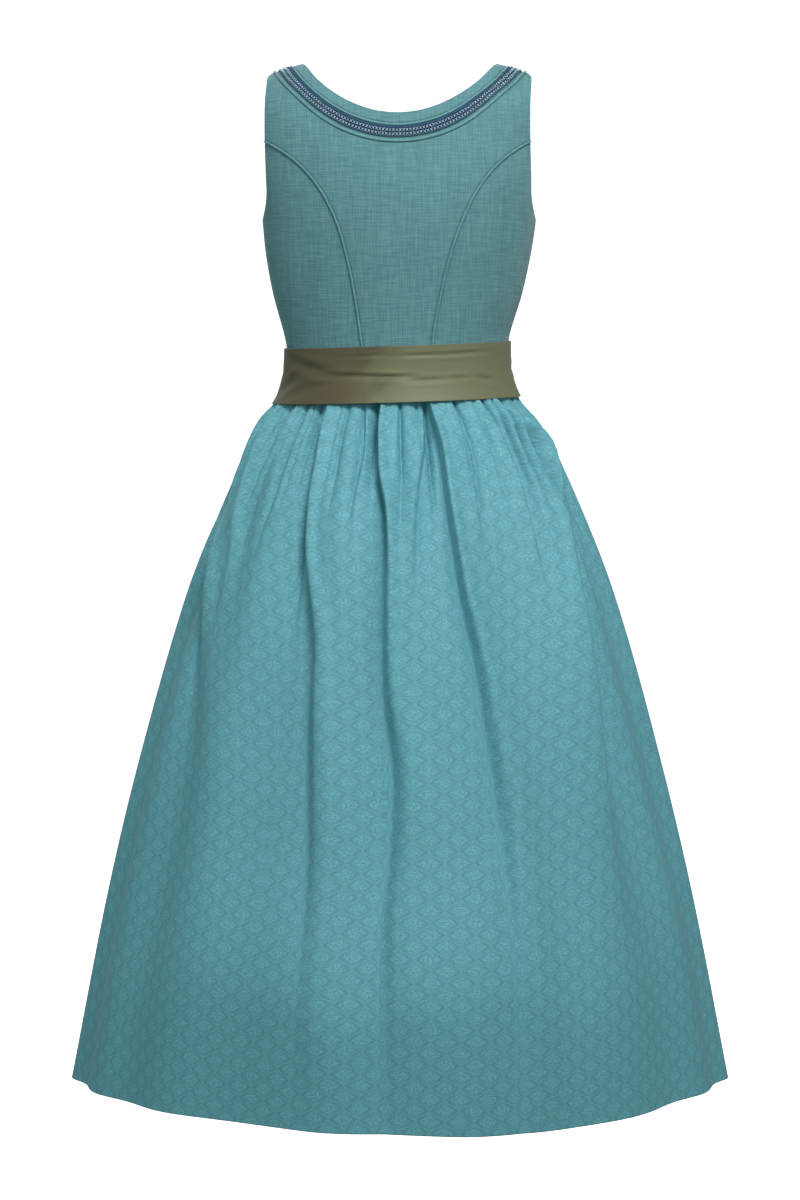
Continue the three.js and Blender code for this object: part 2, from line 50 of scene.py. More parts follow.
MM = 0.001
BACK, FRONT = -1, 1
SEAM_GAP = 0.3
BODICE_WALL = 2.0
SHOULDER_SEAM, UNDERARM, WAIST_SEAM = 35, -195, -392
CUT_TOP, CUT_FOOT = SHOULDER_SEAM - SEAM_GAP / 2, WAIST_SEAM + SEAM_GAP / 2


class Table:
    """A short table of sections. Each column is a smooth curve over the first one."""

    def __init__(self, heading, rows):
        places, *columns = zip(*sorted(rows))
        for name, values in zip(heading.split()[1:], columns):
            setattr(self, name, self.curve(places, values))

    @staticmethod
    def curve(places, values):
        x, y = np.array(places, float), np.array(values, float)
        count = np.arange(len(x))
        before, after = np.maximum(count - 1, 0), np.minimum(count + 1, len(x) - 1)
        slope = (y[after] - y[before]) / (x[after] - x[before])

        def at(value):
            k = np.clip(np.searchsorted(x, value, side="right") - 1, 0, len(x) - 2)
            span = x[k + 1] - x[k]
            s = np.clip((value - x[k]) / span, 0, 1)
            rise = s * s * (3 - 2 * s)
            leave = s * (1 - s) ** 2 * span * slope[k]
            arrive = s * s * (s - 1) * span * slope[k + 1]
            return y[k] * (1 - rise) + y[k + 1] * rise + leave + arrive

        return at


def ease(value, start, end):
    """0 before start, 1 after end, smooth between them."""
    s = np.clip((value - start) / (end - start), 0, 1)
    return s * s * (3 - 2 * s)


def bell(distance):
    return np.exp(-distance * distance)


# Horizontal sections of the bodice. along: the distance down the cloth from the shoulder seam; half: half
# the width; back, front: the depth behind and before the side seams; square: under 1 is boxier than an
# ellipse; lean: how far the section stands to one side.
bodice = Table(
    "along height half back front square lean",
    [
        (-392, -392, 136, 97, 101, 1, -3),
        (-355, -355, 137.2, 97.5, 101, 1, -3),
        (-336, -336, 139.7, 98.6, 101.8, 1, -3.8),
        (-286, -286, 154, 104, 107, 0.95, -3),
        (-236, -236, 164, 110, 112, 0.9, -2),
        (-195, -195, 169, 113, 112, 0.85, -1),
        (-150, -151, 172.5, 112, 108, 0.75, -1.5),
        (-95, -98, 176.5, 102, 97, 0.7, -3),
        (-46, -50, 179, 81, 78, 0.65, -3),
        (-9, -20, 182, 50, 49, 0.6, -1.5),
        (14, -5, 184, 26, 26, 0.6, -0.5),
        (35, 0, 185, 0, 0, 0.6, 0),
    ],
)
SHOULDER_SLOPE, SLOPE_BLEND, SLOPE_ALONG = 0.35, 12, (-80, 30)
BUST_SIDE, BUST_ALONG, BUST_FULLNESS, BUST_WIDTH, BUST_HEIGHT = 80, -205, 18, 42, 48
NECK_HALF = 119
NECK_DROP = {BACK: 97, FRONT: 158}
NECK_CURVE = {BACK: 1.2, FRONT: 1.1}
SHOULDER_TIP, TIP_ROUNDING = 159, 30
ARMHOLE_REACH = {BACK: 162.5, FRONT: 157}
# The curved panel seams, as Bezier points from the armhole to the waist. Their lines lie closer together
# near the armhole, by the power SEAM_CROWDING.
SEAM_CROWDING = 1.35
PANEL_SEAM = {
    BACK: [(162.5, -96), (80, -138), (56, -225), (37, WAIST_SEAM)],
    FRONT: [(157, -112), (95, -145), (92, -250), (48, WAIST_SEAM)],
}


def bodice_point(side, turn, along):
    """A point of the cloth's outside. turn: 0 at the centre line, 1 at the side seam."""
    angle = turn * math.pi / 2
    x = bodice.half(along) * np.sin(angle)
    depth = (bodice.back if side == BACK else bodice.front)(along)
    rounded = np.maximum(np.cos(angle), 0) ** bodice.square(along)
    beyond_neck = np.abs(x) - NECK_HALF
    slope_run = (beyond_neck + np.hypot(beyond_neck, SLOPE_BLEND)) / 2
    bust = bell((np.abs(x) - BUST_SIDE) / BUST_WIDTH) * bell((along - BUST_ALONG) / BUST_HEIGHT)
    y = side * (depth * rounded + (BUST_FULLNESS * bust if side == FRONT else 0))
    z = bodice.height(along) - SHOULDER_SLOPE * slope_run * ease(along, *SLOPE_ALONG)
    return np.stack([x + bodice.lean(along), y, z], axis=-1)


def unit(vectors):
    return vectors / np.maximum(np.linalg.norm(vectors, axis=-1, keepdims=True), 1e-9)


def bodice_out(side, turn, along):
    """The direction straight out of the cloth."""
    step, reach = 0.004, 0.5
    turn = np.clip(turn, -1 + step, 1 - step)
    along = np.clip(along, WAIST_SEAM + reach, SHOULDER_SEAM - reach)
    wide = bodice_point(side, turn + step, along) - bodice_point(side, turn - step, along)
    tall = bodice_point(side, turn, along + reach) - bodice_point(side, turn, along - reach)
    return -side * unit(np.cross(wide, tall))


def on_bodice(side, turn, along, out=0.0):
    """A point at a distance out from the cloth. It never passes the side and shoulder seams."""
    point = bodice_point(side, turn, along)
    point = point + bodice_out(side, turn, along) * np.asarray(out)[..., None]
    point[..., 1] = side * np.maximum(side * point[..., 1], SEAM_GAP / 2)
    return point


def turn_of(across, along):
    return np.arcsin(np.clip(across / bodice.half(along), -1, 1)) * 2 / math.pi


def neck_point(side, angle, distance):
    """The neckline moved away from the neck, as (across, along). 90 degrees is on the shoulder seam."""

    def edge(at):
        drop = NECK_DROP[side] * np.maximum(np.cos(at), 0) ** NECK_CURVE[side]
        return NECK_HALF * np.sin(at), SHOULDER_SEAM - drop

    step = 0.002
    x0, y0 = edge(np.maximum(angle - step, 0))
    x1, y1 = edge(np.minimum(angle + step, math.pi / 2))
    run = np.hypot(x1 - x0, y1 - y0)
    x, y = edge(angle)
    shoulder = angle >= math.pi / 2 - 1e-6
    across = x + distance * np.where(shoulder, 1, (y1 - y0) / run)
    along = y + distance * np.where(shoulder, 0, -(x1 - x0) / run)
    return across, np.minimum(along, SHOULDER_SEAM)


def panel_seam(side, share, aside=0.0):
    """The curved panel seam, moved sideways. share: 0 at the armhole, 1 at the waist."""
    p0, p1, p2, p3 = (np.array(p, float) for p in PANEL_SEAM[side])
    s = np.asarray(share, float)[..., None] ** SEAM_CROWDING
    point = p0 * (1 - s) ** 3 + 3 * p1 * s * (1 - s) ** 2 + 3 * p2 * s * s * (1 - s) + p3 * s**3
    way = (p1 - p0) * (1 - s) ** 2 + 2 * (p2 - p1) * s * (1 - s) + (p3 - p2) * s * s
    way = unit(way)
    return point[..., 0] - way[..., 1] * aside, point[..., 1] + way[..., 0] * aside


def armhole_across(side, along):
    rounding = ease(along, SHOULDER_SEAM - TIP_ROUNDING, SHOULDER_SEAM)
    return ARMHOLE_REACH[side] + (SHOULDER_TIP - ARMHOLE_REACH[side]) * rounding**2


# The lines of a centre panel fan out from the neckline. Each stretch of the outline takes some degrees of
# it. The rows round the neck lie at fixed distances from its edge, and those of the body at fixed shares.
ARMHOLE_STEPS, PANEL_SEAM_STEPS, WAIST_STEPS = 36, 72, 16
ARMHOLE_DEGREES, PANEL_SEAM_DEGREES, WAIST_DEGREES = 45, 36, 9
NECK_LINES = [
    0, 0.6, 1.6, 3.4, 5.6, 8, 10.4, 12.2, 12.9, 13.6, 15, 17, 20, 23.5, 27, 30, 32.4, 34, 36, 37.4, 39,
]
BODY_SHARES = [*np.linspace(0, 1, 27)[1:-1], 0.975, 0.992, 1.0]
FAR_OFF = 60.0


def centre_half(side, centre_gap):
    """One half of a centre panel, from the shoulder round to the centre line, as (turn, along)."""
    arm = np.linspace(0, 1, ARMHOLE_STEPS + 1)
    seam = np.linspace(0, 1, PANEL_SEAM_STEPS + 1)[1:]
    waist = np.linspace(0, 1, WAIST_STEPS + 1)[1:]
    low_degrees = WAIST_DEGREES + PANEL_SEAM_DEGREES
    degrees = np.concatenate([
        90 - ARMHOLE_DEGREES * arm, low_degrees - PANEL_SEAM_DEGREES * seam, WAIST_DEGREES * (1 - waist),
    ])
    top_across, top_along = panel_seam(side, 0.0, -SEAM_GAP / 2)
    foot_across, _ = panel_seam(side, 1.0, -SEAM_GAP / 2)
    arm_along = SHOULDER_SEAM + (top_along - SHOULDER_SEAM) * arm
    arm_across = armhole_across(side, arm_along)
    arm_across[-1] = min(arm_across[-1], top_across)
    seam_across, seam_along = panel_seam(side, seam, -SEAM_GAP / 2)
    edge_across = np.concatenate([arm_across, seam_across, foot_across * (1 - waist)])[:, None]
    edge_along = np.concatenate([arm_along, seam_along, np.full_like(waist, WAIST_SEAM)])[:, None]
    angle = np.radians(degrees)[:, None]
    across, along = neck_point(side, angle, np.array(NECK_LINES)[None, :])
    body = np.array(BODY_SHARES)[None, :]
    body_across = across[:, -1:] + (edge_across - across[:, -1:]) * body
    body_along = along[:, -1:] + (edge_along - along[:, -1:]) * body
    across = np.concatenate([across, body_across], axis=1)
    along = np.concatenate([along, body_along], axis=1)
    along = np.clip(along, CUT_FOOT, CUT_TOP)
    return turn_of(np.maximum(across, centre_gap), along), along


def distance_from(points, line):
    """How far each point lies from the nearest point of a line."""
    flat = points.reshape(-1, 3)
    nearest = np.full(len(flat), 1e9)
    for place in line:
        nearest = np.minimum(nearest, np.linalg.norm(flat - place, axis=1))
    return nearest.reshape(points.shape[:-1])


def seam_line(side, mirror):
    across, along = panel_seam(side, np.linspace(0, 1, 200))
    return on_bodice(side, mirror * turn_of(across, along), along)


def round_the_body(side, turn, along):
    """How far round the body a point lies, measured on the cloth."""
    reach = np.zeros_like(turn)
    last = on_bodice(side, turn * 0, along)
    for share in np.linspace(0, 1, 21)[1:]:
        here = on_bodice(side, turn * share, along)
        reach += np.linalg.norm(here - last, axis=-1)
        last = here
    return reach * np.sign(turn)


def quads(number):
    """Four-sided faces between the lines of a grid of point numbers."""
    corners = number[:-1, :-1], number[:-1, 1:], number[1:, 1:], number[1:, :-1]
    return np.stack(corners, axis=-1).reshape(-1, 4)


def cloth_mesh(name, points, faces, uv, material, marks):
    """A smooth mesh with a UV map and marked distances. They are given in millimetres and kept in metres."""
    mesh = bpy.data.meshes.new(name)
    mesh.from_pydata((points.reshape(-1, 3) * MM).tolist(), [], faces)
    layer = mesh.uv_layers.new(name="cloth")
    layer.data.foreach_set("uv", (uv.reshape(-1, 2)[np.concatenate(faces)] * MM).ravel())
    for mark, distance in marks.items():
        attribute = mesh.attributes.new(mark, "FLOAT", "POINT")
        attribute.data.foreach_set("value", (distance.ravel() * MM).astype(np.float32))
    mesh.shade_smooth()
    mesh.materials.append(material)
    return mesh


def in_scene(name, data):
    """A new object in the scene."""
    made = bpy.data.objects.new(name, data)
    bpy.context.scene.collection.objects.link(made)
    return made


def cloth(name, points, uv, material, thickness, **marks):
    """A panel of cloth from a grid of points of its outside."""
    faces = quads(np.arange(points[..., 0].size).reshape(points.shape[:2]))
    a, b, c, d = (points.reshape(-1, 3)[faces[:, k]] for k in range(4))
    outward = (a + b + c + d) / 4 * (1, 1, 0) + (0, 0, 20)
    if np.sum(np.cross(c - a, d - b) * outward) < 0:
        faces = faces[:, ::-1]
    piece = in_scene(name, cloth_mesh(name, points, faces.tolist(), uv, material, marks))
    wall = piece.modifiers.new("wall", "SOLIDIFY")
    wall.thickness, wall.offset = thickness * MM, -1
    return piece


def sum_node(operation):
    """An operator of the sums below, and its reflected form."""

    def plain(self, other):
        return self.maths(operation, self, other)

    def reflected(self, other):
        return self.maths(operation, other, self)

    return plain, reflected


class Wire:
    """A socket of a finish. Sums written with it add Math nodes."""

    def __init__(self, finish, socket):
        self.finish, self.socket = finish, socket

    def maths(self, operation, *values):
        return self.finish.node("Math", {"operation": operation}, dict(enumerate(values)))

    __add__, __radd__ = sum_node("ADD")
    __sub__, __rsub__ = sum_node("SUBTRACT")
    __mul__, __rmul__ = sum_node("MULTIPLY")
    __truediv__, __rtruediv__ = sum_node("DIVIDE")
    __pow__, __rpow__ = sum_node("POWER")
    __lt__, __gt__ = sum_node("LESS_THAN")

    def __abs__(self):
        return self.maths("ABSOLUTE", self)

    def wave(self):
        """Between 0 and 1, and 1 at every whole number."""
        return self.maths("COSINE", self * math.tau) * 0.5 + 0.5

    def fraction(self):
        return self.maths("FRACT", self)

    def steps(self, low, high, to_low=0.0, to_high=1.0):
        """Eased from to_low at low, to to_high at high."""
        sockets = {"Value": self, "From Min": low, "From Max": high, "To Min": to_low, "To Max": to_high}
        return self.finish.node("MapRange", {"interpolation_type": "SMOOTHSTEP"}, sockets)


class Finish:
    """A material, and the one method that adds its nodes."""

    def __init__(self, name, **constants):
        self.material = bpy.data.materials.new(name)
        self.material.use_nodes = True
        self.tree = self.material.node_tree
        self.shader = self.tree.nodes["Principled BSDF"]
        for socket, value in constants.items():
            self.shader.inputs[socket.replace("_", " ")].default_value = value

    def node(self, kind, settings, sockets, out=0):
        made = self.tree.nodes.new("ShaderNode" + kind)
        for setting, value in settings.items():
            setattr(made, setting, value)
        for name, value in sockets.items():
            socket = self.named(made.inputs, name)
            if isinstance(value, Wire):
                self.tree.links.new(value.socket, socket)
            else:
                socket.default_value = value
        return Wire(self, self.named(made.outputs, out))

    @staticmethod
    def named(sockets, name):
        known = {socket.identifier: socket for socket in sockets}
        return known[name] if name in known else sockets[name]

    def uv(self):
        """Both ways across the cloth, in metres."""
        place = self.node("UVMap", {"uv_map": "cloth"}, {})
        ways = self.node("SeparateXYZ", {}, {0: place}).socket.node.outputs
        return Wire(self, ways[0]), Wire(self, ways[1])

    def mark(self, name):
        return self.node("Attribute", {"attribute_name": name}, {}, out="Fac")

    def noise(self, u, v, w, detail, roughness=0.5):
        place = self.node("CombineXYZ", {}, {0: u, 1: v, 2: w})
        sockets = {"Vector": place, "Scale": 1.0, "Detail": detail, "Roughness": roughness}
        return self.node("TexNoise", {}, sockets, out="Fac")

    def blend(self, share, first, second, way="MIX"):
        """Two colours mixed."""
        sockets = {"Factor_Float": share, "A_Color": first, "B_Color": second}
        return self.node("Mix", {"data_type": "RGBA", "blend_type": way}, sockets, out="Result_Color")

    def shade(self, colour, tone):
        """A colour made lighter or darker by a number near 1."""
        grey = self.node("CombineColor", {}, {0: tone, 1: tone, 2: tone})
        return self.blend(1.0, colour, grey, way="MULTIPLY")

    def feed(self, socket, value):
        self.tree.links.new(value.socket, self.shader.inputs[socket])

    def bump(self, height, strength, distance):
        sockets = {"Height": height, "Strength": strength, "Distance": distance}
        self.feed("Normal", self.node("Bump", {}, sockets))


def rgb(red, green, blue):
    """A colour given as it looks on a screen, 0 to 255, as the light that it sends back."""

    def linear(value):
        value /= 255
        return value / 12.92 if value <= 0.04045 else ((value + 0.055) / 1.055) ** 2.4

    return linear(red), linear(green), linear(blue), 1.0


# A finish measures the cloth in metres. The slubs are counted to a metre, both ways.
LINEN_THREAD = 0.0009
SLUBS_ACROSS, SLUBS_DOWN = (34, 620), (640, 30)
# The ditches sewn beside the braid and its cords, by their distance from the neck edge. Painted shade
# darkens each of them.
DITCHES = (0.0129, 0.0170, 0.0315, 0.0375)
# How far from its line a ditch is full and where it ends, in the bump and in its painted shade, and how dark
# that painted shade is.
DITCH_INNER, DITCH_OUTER, DITCH_PAINTED_SHADE = 0.0003, 0.0014, 0.24
# How far from a curved seam the painted shade beside it is full and where it ends, and how dark it is.
SEAM_PAINTED_SHADE_INNER, SEAM_PAINTED_SHADE_OUTER, SEAM_PAINTED_SHADE = 0.0014, 0.0046, 0.30


def linen(name, warp, weft, ditches=()):
    """Plain-woven linen: uneven threads both ways, with slubs. Its ditch lines are pressed into the bump and
    darkened with painted shade, and painted shade darkens the cloth beside the curved seams.
    """
    finish = Finish(name, Roughness=0.82, Sheen_Weight=0.25, Sheen_Roughness=0.5, Specular_IOR_Level=0.3)
    u, v = finish.uv()
    slubs = [
        finish.noise(u * wide, v * tall, seed, detail=3, roughness=0.65).steps(0.3, 0.72)
        for (wide, tall), seed in ((SLUBS_ACROSS, 3.1), (SLUBS_DOWN, 7.7))
    ]
    both = slubs[0] + slubs[1]
    cloud = finish.noise(u * 9, v * 9, 1.3, detail=3)
    colour = finish.blend(both * 0.5, warp, weft)
    tone = 0.86 + both * 0.12 + cloud * 0.1
    weave = (v / LINEN_THREAD).wave() * 0.35 + (u / LINEN_THREAD).wave() * 0.35 + both * 1.1
    for line in ditches:
        ditch_groove_and_shade = abs(finish.mark("from_neck") - line).steps(DITCH_INNER, DITCH_OUTER, 1.0, 0.0)
        # Painted shade: the ditch line is darkened. It is also pressed into the bump.
        tone = tone * (1 - ditch_groove_and_shade * DITCH_PAINTED_SHADE)
        weave = weave - ditch_groove_and_shade * 5
    # Painted shade: the cloth beside the curved seams is darkened.
    crease = finish.mark("from_seam").steps(SEAM_PAINTED_SHADE_INNER, SEAM_PAINTED_SHADE_OUTER, 1.0, 0.0)
    tone = tone * (1 - crease * SEAM_PAINTED_SHADE)
    finish.feed("Base Color", finish.shade(colour, tone))
    finish.bump(weave, 0.55, 0.00035)
    return finish.material


LINEN_WARP, LINEN_WEFT = rgb(84, 139, 148), rgb(112, 160, 164)
linen_cloth = linen("linen", LINEN_WARP, LINEN_WEFT, DITCHES)


def bodice_panel(name, side, turn, along, from_neck, seams):
    """A linen panel that knows how far each of its points lies from the neck edge and the curved seams."""
    points = on_bodice(side, turn, along)
    from_seam = np.minimum.reduce([distance_from(points, seam_line(side, mirror)) for mirror in seams])
    from_neck = np.broadcast_to(from_neck, turn.shape)
    uv = np.stack([round_the_body(side, turn, along), along], axis=-1)
    return cloth(name, points, uv, linen_cloth, BODICE_WALL, from_neck=from_neck, from_seam=from_seam)


def settle(piece, slot, *nodes):
    """The piece stands for its nodes, and rides on the one body."""
    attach(piece, "root")
    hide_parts(*nodes)
    return piece


centre_lines = np.array([*NECK_LINES, *([FAR_OFF] * len(BODY_SHARES))])
half_turn, half_along = centre_half(BACK, 0.0)
back_turn = np.concatenate([-half_turn, half_turn[-2::-1]])
back_along = np.concatenate([half_along, half_along[-2::-1]])
panel = bodice_panel("back_centre_panel", BACK, back_turn, back_along, centre_lines, (-1, 1))
back_centre = settle(panel, "linen", "back_centre")
front_turn, front_along = centre_half(FRONT, SEAM_GAP / 2)
front_centre = {}
for word, mirror in (("left", -1), ("right", 1)):
    name = f"front_centre_{word}"
    panel = bodice_panel(f"{name}_panel", FRONT, mirror * front_turn, front_along, centre_lines, (-1, 1))
    front_centre[word] = settle(panel, "linen", name)

# ------------------------------
# Side panels of the bodice, four of them. Each runs from a curved seam to the side seam, and its
# top edge is the lower half of the armhole, faced and turned like the neck.
# ------------------------------

ARMHOLE_BEND, BEND_SHARE = -150, 0.6
SIDE_SEAM_ROWS, UNDERARM_ROWS = 44, 40
SIDE_SHARES = np.array([0, 0.012, 0.03, *np.linspace(0.06, 0.95, 30), 0.975, 0.99, 1.0])
# The lines of a side panel rise from 0 at the waist to the top. The one to the underarm starts lower on
# the curved seam, so that no line crosses the armhole.
UNDERARM_RISE, UNDERARM_SEAM_RISE, TOP_RISE = 0.5, 0.28, 0.985


def armhole_sweep(side, share):
    """The armhole's sweep from the side seam (0) up to the top of the panel seam (1)."""
    top = PANEL_SEAM[side][0][1]
    past = (share - BEND_SHARE) / (1 - BEND_SHARE)
    steep_along = ARMHOLE_BEND + (top - ARMHOLE_BEND) * np.clip(past, 0, 1)
    angle = np.clip(share / BEND_SHARE, 0, 1) * math.pi / 2
    bend_turn = turn_of(ARMHOLE_REACH[side], np.float64(ARMHOLE_BEND))
    low_turn = 1 - (1 - bend_turn) * np.sin(angle)
    low_along = ARMHOLE_BEND + (UNDERARM - ARMHOLE_BEND) * np.cos(angle)
    steep = share > BEND_SHARE
    return (
        np.where(steep, turn_of(ARMHOLE_REACH[side], steep_along), low_turn),
        np.where(steep, steep_along, low_along),
    )


def side_panel(name, side, mirror):
    low = np.linspace(0, UNDERARM_RISE, SIDE_SEAM_ROWS + 1)
    high = np.linspace(UNDERARM_RISE, TOP_RISE, UNDERARM_ROWS + 1)
    rise = np.concatenate([low, high[1:]])
    seam_rise = np.interp(rise, [0, UNDERARM_RISE, TOP_RISE], [0, UNDERARM_SEAM_RISE, TOP_RISE])
    seam_across, seam_along = panel_seam(side, 1 - seam_rise, SEAM_GAP / 2)
    seam_along = np.maximum(seam_along, CUT_FOOT)
    seam_turn = turn_of(seam_across, seam_along)
    past = (rise - UNDERARM_RISE) / UNDERARM_RISE
    sweep_turn, sweep_along = armhole_sweep(side, np.maximum(past, 0))
    straight = CUT_FOOT + (UNDERARM - WAIST_SEAM) * np.minimum(rise / UNDERARM_RISE, 1)
    edge_turn = np.where(past <= 0, 1.0, sweep_turn)
    edge_along = np.where(past <= 0, straight, sweep_along)
    turn = mirror * (seam_turn[:, None] + (edge_turn - seam_turn)[:, None] * SIDE_SHARES)
    along = seam_along[:, None] + (edge_along - seam_along)[:, None] * SIDE_SHARES
    return bodice_panel(name, side, turn, along, FAR_OFF, [mirror])


side_panels = []
for place, side in (("back", BACK), ("front", FRONT)):
    for word, mirror in (("left", -1), ("right", 1)):
        panel = side_panel(f"{place}_side_{word}_panel", side, mirror)
        side_panels.append(settle(panel, "linen", f"{place}_side_{word}"))

# ------------------------------
# Cords. A thin piping of the same linen, painted lighter as a highlight on the raised cords, stands up out
# of each curved seam, one more runs round the neck inside the braid and another outside it. Each is a bias
# strip folded over string and sewn in.
# ------------------------------

CORD_SIDES = 10
SEAM_CORD_WIDTH, SEAM_CORD_RISE = 2.6, 1.9
# Where each neck cord begins and ends, from the neck edge, and how high it stands.
NECK_CORDS = {"inner": (14.0, 16.4, 1.5), "outer": (33.8, 36.8, 1.9)}

# The cords' linen is the panels' linen painted lighter: a painted highlight on the raised cords.
cord_linen_painted_lighter = linen("linen_cord_painted_highlight", rgb(94, 152, 158), rgb(118, 168, 172))


def run_along(line):
    """How far along a line each of its points lies."""
    steps = np.linalg.norm(np.diff(line, axis=0), axis=1)
    return np.concatenate([[0], np.cumsum(steps)])


def cord_tube(name, side, mirror, width, rise, aside_of):
    """A round cord along a line of the bodice. aside_of gives the line moved sideways."""
    ring = []
    for k in range(CORD_SIDES):
        angle = k * math.tau / CORD_SIDES
        cord_across, cord_along = aside_of(width / 2 * math.cos(angle))
        cord_along = np.clip(cord_along, CUT_FOOT, CUT_TOP)
        out = SEAM_GAP + rise / 2 * (1 + math.sin(angle))
        ring.append(on_bodice(side, mirror * turn_of(cord_across, cord_along), cord_along, out))
    points = np.stack(ring, axis=1)
    number = np.arange(points[..., 0].size).reshape(points.shape[:2])
    faces = quads(np.column_stack([number, number[:, 0]])).tolist()
    faces += [number[0].tolist()[::-1], number[-1].tolist()]
    girth = np.arange(CORD_SIDES) * (width * math.pi / CORD_SIDES)
    uv = np.stack(np.broadcast_arrays(run_along(points[:, 0])[:, None], girth), axis=-1)
    far = np.full(number.size, FAR_OFF)
    mesh = cloth_mesh(name, points, faces, uv, cord_linen_painted_lighter, {"from_seam": far, "from_neck": far})
    mesh.validate()
    work = bmesh.new()
    work.from_mesh(mesh)
    bmesh.ops.recalc_face_normals(work, faces=work.faces)
    work.to_mesh(mesh)
    work.free()
    return in_scene(name, mesh)


cords = {"back": [], "front_left": [], "front_right": []}
cord_shares = np.linspace(0.012, 1, 90)
for place, side in (("back", BACK), ("front", FRONT)):

    def seam_aside(aside, side=side):
        return panel_seam(side, cord_shares, aside)

    for word, mirror in (("left", -1), ("right", 1)):
        name = f"{place}_seam_piping_{word}"
        piece = cord_tube(name, side, mirror, SEAM_CORD_WIDTH, SEAM_CORD_RISE, seam_aside)
        panel_name = "back" if side == BACK else f"front_{word}"
        cords[panel_name].append(settle(piece, "linen", f"{place}_seam_cord_{word}"))


def neck_run(side, mirror):
    """Neckline angles and the side of the body that each lies on. mirror 0 is the whole back."""
    half = np.radians(np.linspace(90, 0, 91))
    if mirror:
        return half, np.full(half.shape, float(mirror))
    angles = np.concatenate([half, half[-2::-1]])
    return angles, np.concatenate([np.full(len(half), -1.0), np.full(len(half) - 1, 1.0)])


def neck_line(side, angles, distance):
    """A line round the neck at a distance from its edge. The front ones stop short of the centre line."""
    across, along = neck_point(side, angles, distance)
    return (np.maximum(across, SEAM_GAP / 2) if side == FRONT else across), along


NECK_PARTS = (("back", BACK, 0), ("front_left", FRONT, -1), ("front_right", FRONT, 1))
for layer, (near, far, rise) in NECK_CORDS.items():
    for place, side, mirror in NECK_PARTS:
        angles, hand = neck_run(side, mirror)

        def neck_aside(aside, side=side, angles=angles, middle=(near + far) / 2):
            return neck_line(side, angles, middle + aside)

        piece = cord_tube(f"neck_piping_{layer}_{place}", side, hand, far - near, rise, neck_aside)
        cords[place].append(settle(piece, "linen", f"neck_cord_{layer}_{place}"))

# ------------------------------
# Neck braid. A woven band 14 mm wide is sewn on between the two neck cords. Along its upper edge
# runs a plain slate stripe; below that pale threads cross in two rows of lozenges over navy.
# ------------------------------

BRAID_NEAR, BRAID_FAR, BRAID_RISE = 17.0, 31.0, 1.4
BRAID_REPEAT, BRAID_RIB = 8.4, 0.0011
STRIPE_END, SELVEDGE_START = (0.0021, 0.0027), (0.0120, 0.0126)
NAVY, SLATE, SELVEDGE, PALE_THREAD = rgb(22, 48, 80), rgb(50, 88, 122), rgb(84, 130, 142), rgb(184, 218, 232)


def braid_finish():
    finish = Finish("braid", Roughness=0.75, Specular_IOR_Level=0.3)
    u, v = finish.uv()
    stripe = v.steps(*STRIPE_END, 1.0, 0.0)
    edge = v.steps(*SELVEDGE_START)
    rib = (u / BRAID_RIB).wave()
    colour = finish.blend(edge * 0.6, finish.blend(stripe, NAVY, SLATE), SELVEDGE)
    finish.feed("Base Color", finish.shade(colour, 0.85 + rib * 0.25))
    finish.bump(rib, 0.6, 0.0003)
    return finish.material


def thread_finish():
    finish = Finish("braid_thread", Roughness=0.6, Specular_IOR_Level=0.4)
    place = finish.node("TexCoord", {}, {}, out="Object")
    fleck = finish.node("TexNoise", {}, {"Vector": place, "Scale": 900.0, "Detail": 2.0}, out="Fac")
    finish.feed("Base Color", finish.shade(PALE_THREAD, 0.75 + fleck * 0.5))
    finish.bump(fleck, 0.4, 0.0002)
    return finish.material


def sewn_grains():
    """Small threads laid on points: each point says which way its thread runs and which way is out."""
    tree = bpy.data.node_groups.new("sewn_grains", "GeometryNodeTree")
    for name, kind in (
        ("points", "Geometry"), ("length", "Float"), ("width", "Float"), ("height", "Float"),
        ("unevenness", "Float"), ("seed", "Int"), ("thread", "Material"),
    ):
        tree.interface.new_socket(name, in_out="INPUT", socket_type=f"NodeSocket{kind}")
    tree.interface.new_socket("Geometry", in_out="OUTPUT", socket_type="NodeSocketGeometry")

    def node(kind, sockets, **settings):
        made = tree.nodes.new(kind)
        for setting, value in settings.items():
            setattr(made, setting, value)
        for name, value in sockets.items():
            if isinstance(value, bpy.types.NodeSocket):
                tree.links.new(value, made.inputs[name])
            else:
                made.inputs[name].default_value = value
        return made.outputs

    given = node("NodeGroupInput", {})
    bead = node("GeometryNodeMeshUVSphere", {"Segments": 6, "Rings": 4, "Radius": 0.5})
    size = node("ShaderNodeCombineXYZ", {"X": given["length"], "Y": given["width"], "Z": given["height"]})
    grain = node("GeometryNodeTransform", {"Geometry": bead[0], "Scale": size[0]})
    along = node("GeometryNodeInputNamedAttribute", {"Name": "along"}, data_type="FLOAT_VECTOR")
    out = node("GeometryNodeInputNamedAttribute", {"Name": "out"}, data_type="FLOAT_VECTOR")
    laid = node("FunctionNodeAlignRotationToVector", {"Vector": along[0]}, axis="X")
    turned = {"Rotation": laid[0], "Vector": out[0]}
    faced = node("FunctionNodeAlignRotationToVector", turned, axis="Z", pivot_axis="X")
    least = node("ShaderNodeMath", {0: 1.0, 1: given["unevenness"]}, operation="SUBTRACT")
    between = {2: least[0], 3: 1.0, "Seed": given["seed"]}
    uneven = node("FunctionNodeRandomValue", between, data_type="FLOAT")
    each = {"Points": given["points"], "Instance": grain[0], "Rotation": faced[0], "Scale": uneven[1]}
    sown = node("GeometryNodeInstanceOnPoints", each)
    real = node("GeometryNodeRealizeInstances", {0: sown[0]})
    smooth = node("GeometryNodeSetShadeSmooth", {0: real[0]})
    painted = node("GeometryNodeSetMaterial", {"Geometry": smooth[0], "Material": given["thread"]})
    node("NodeGroupOutput", {0: painted[0]})
    return tree


grains = sewn_grains()


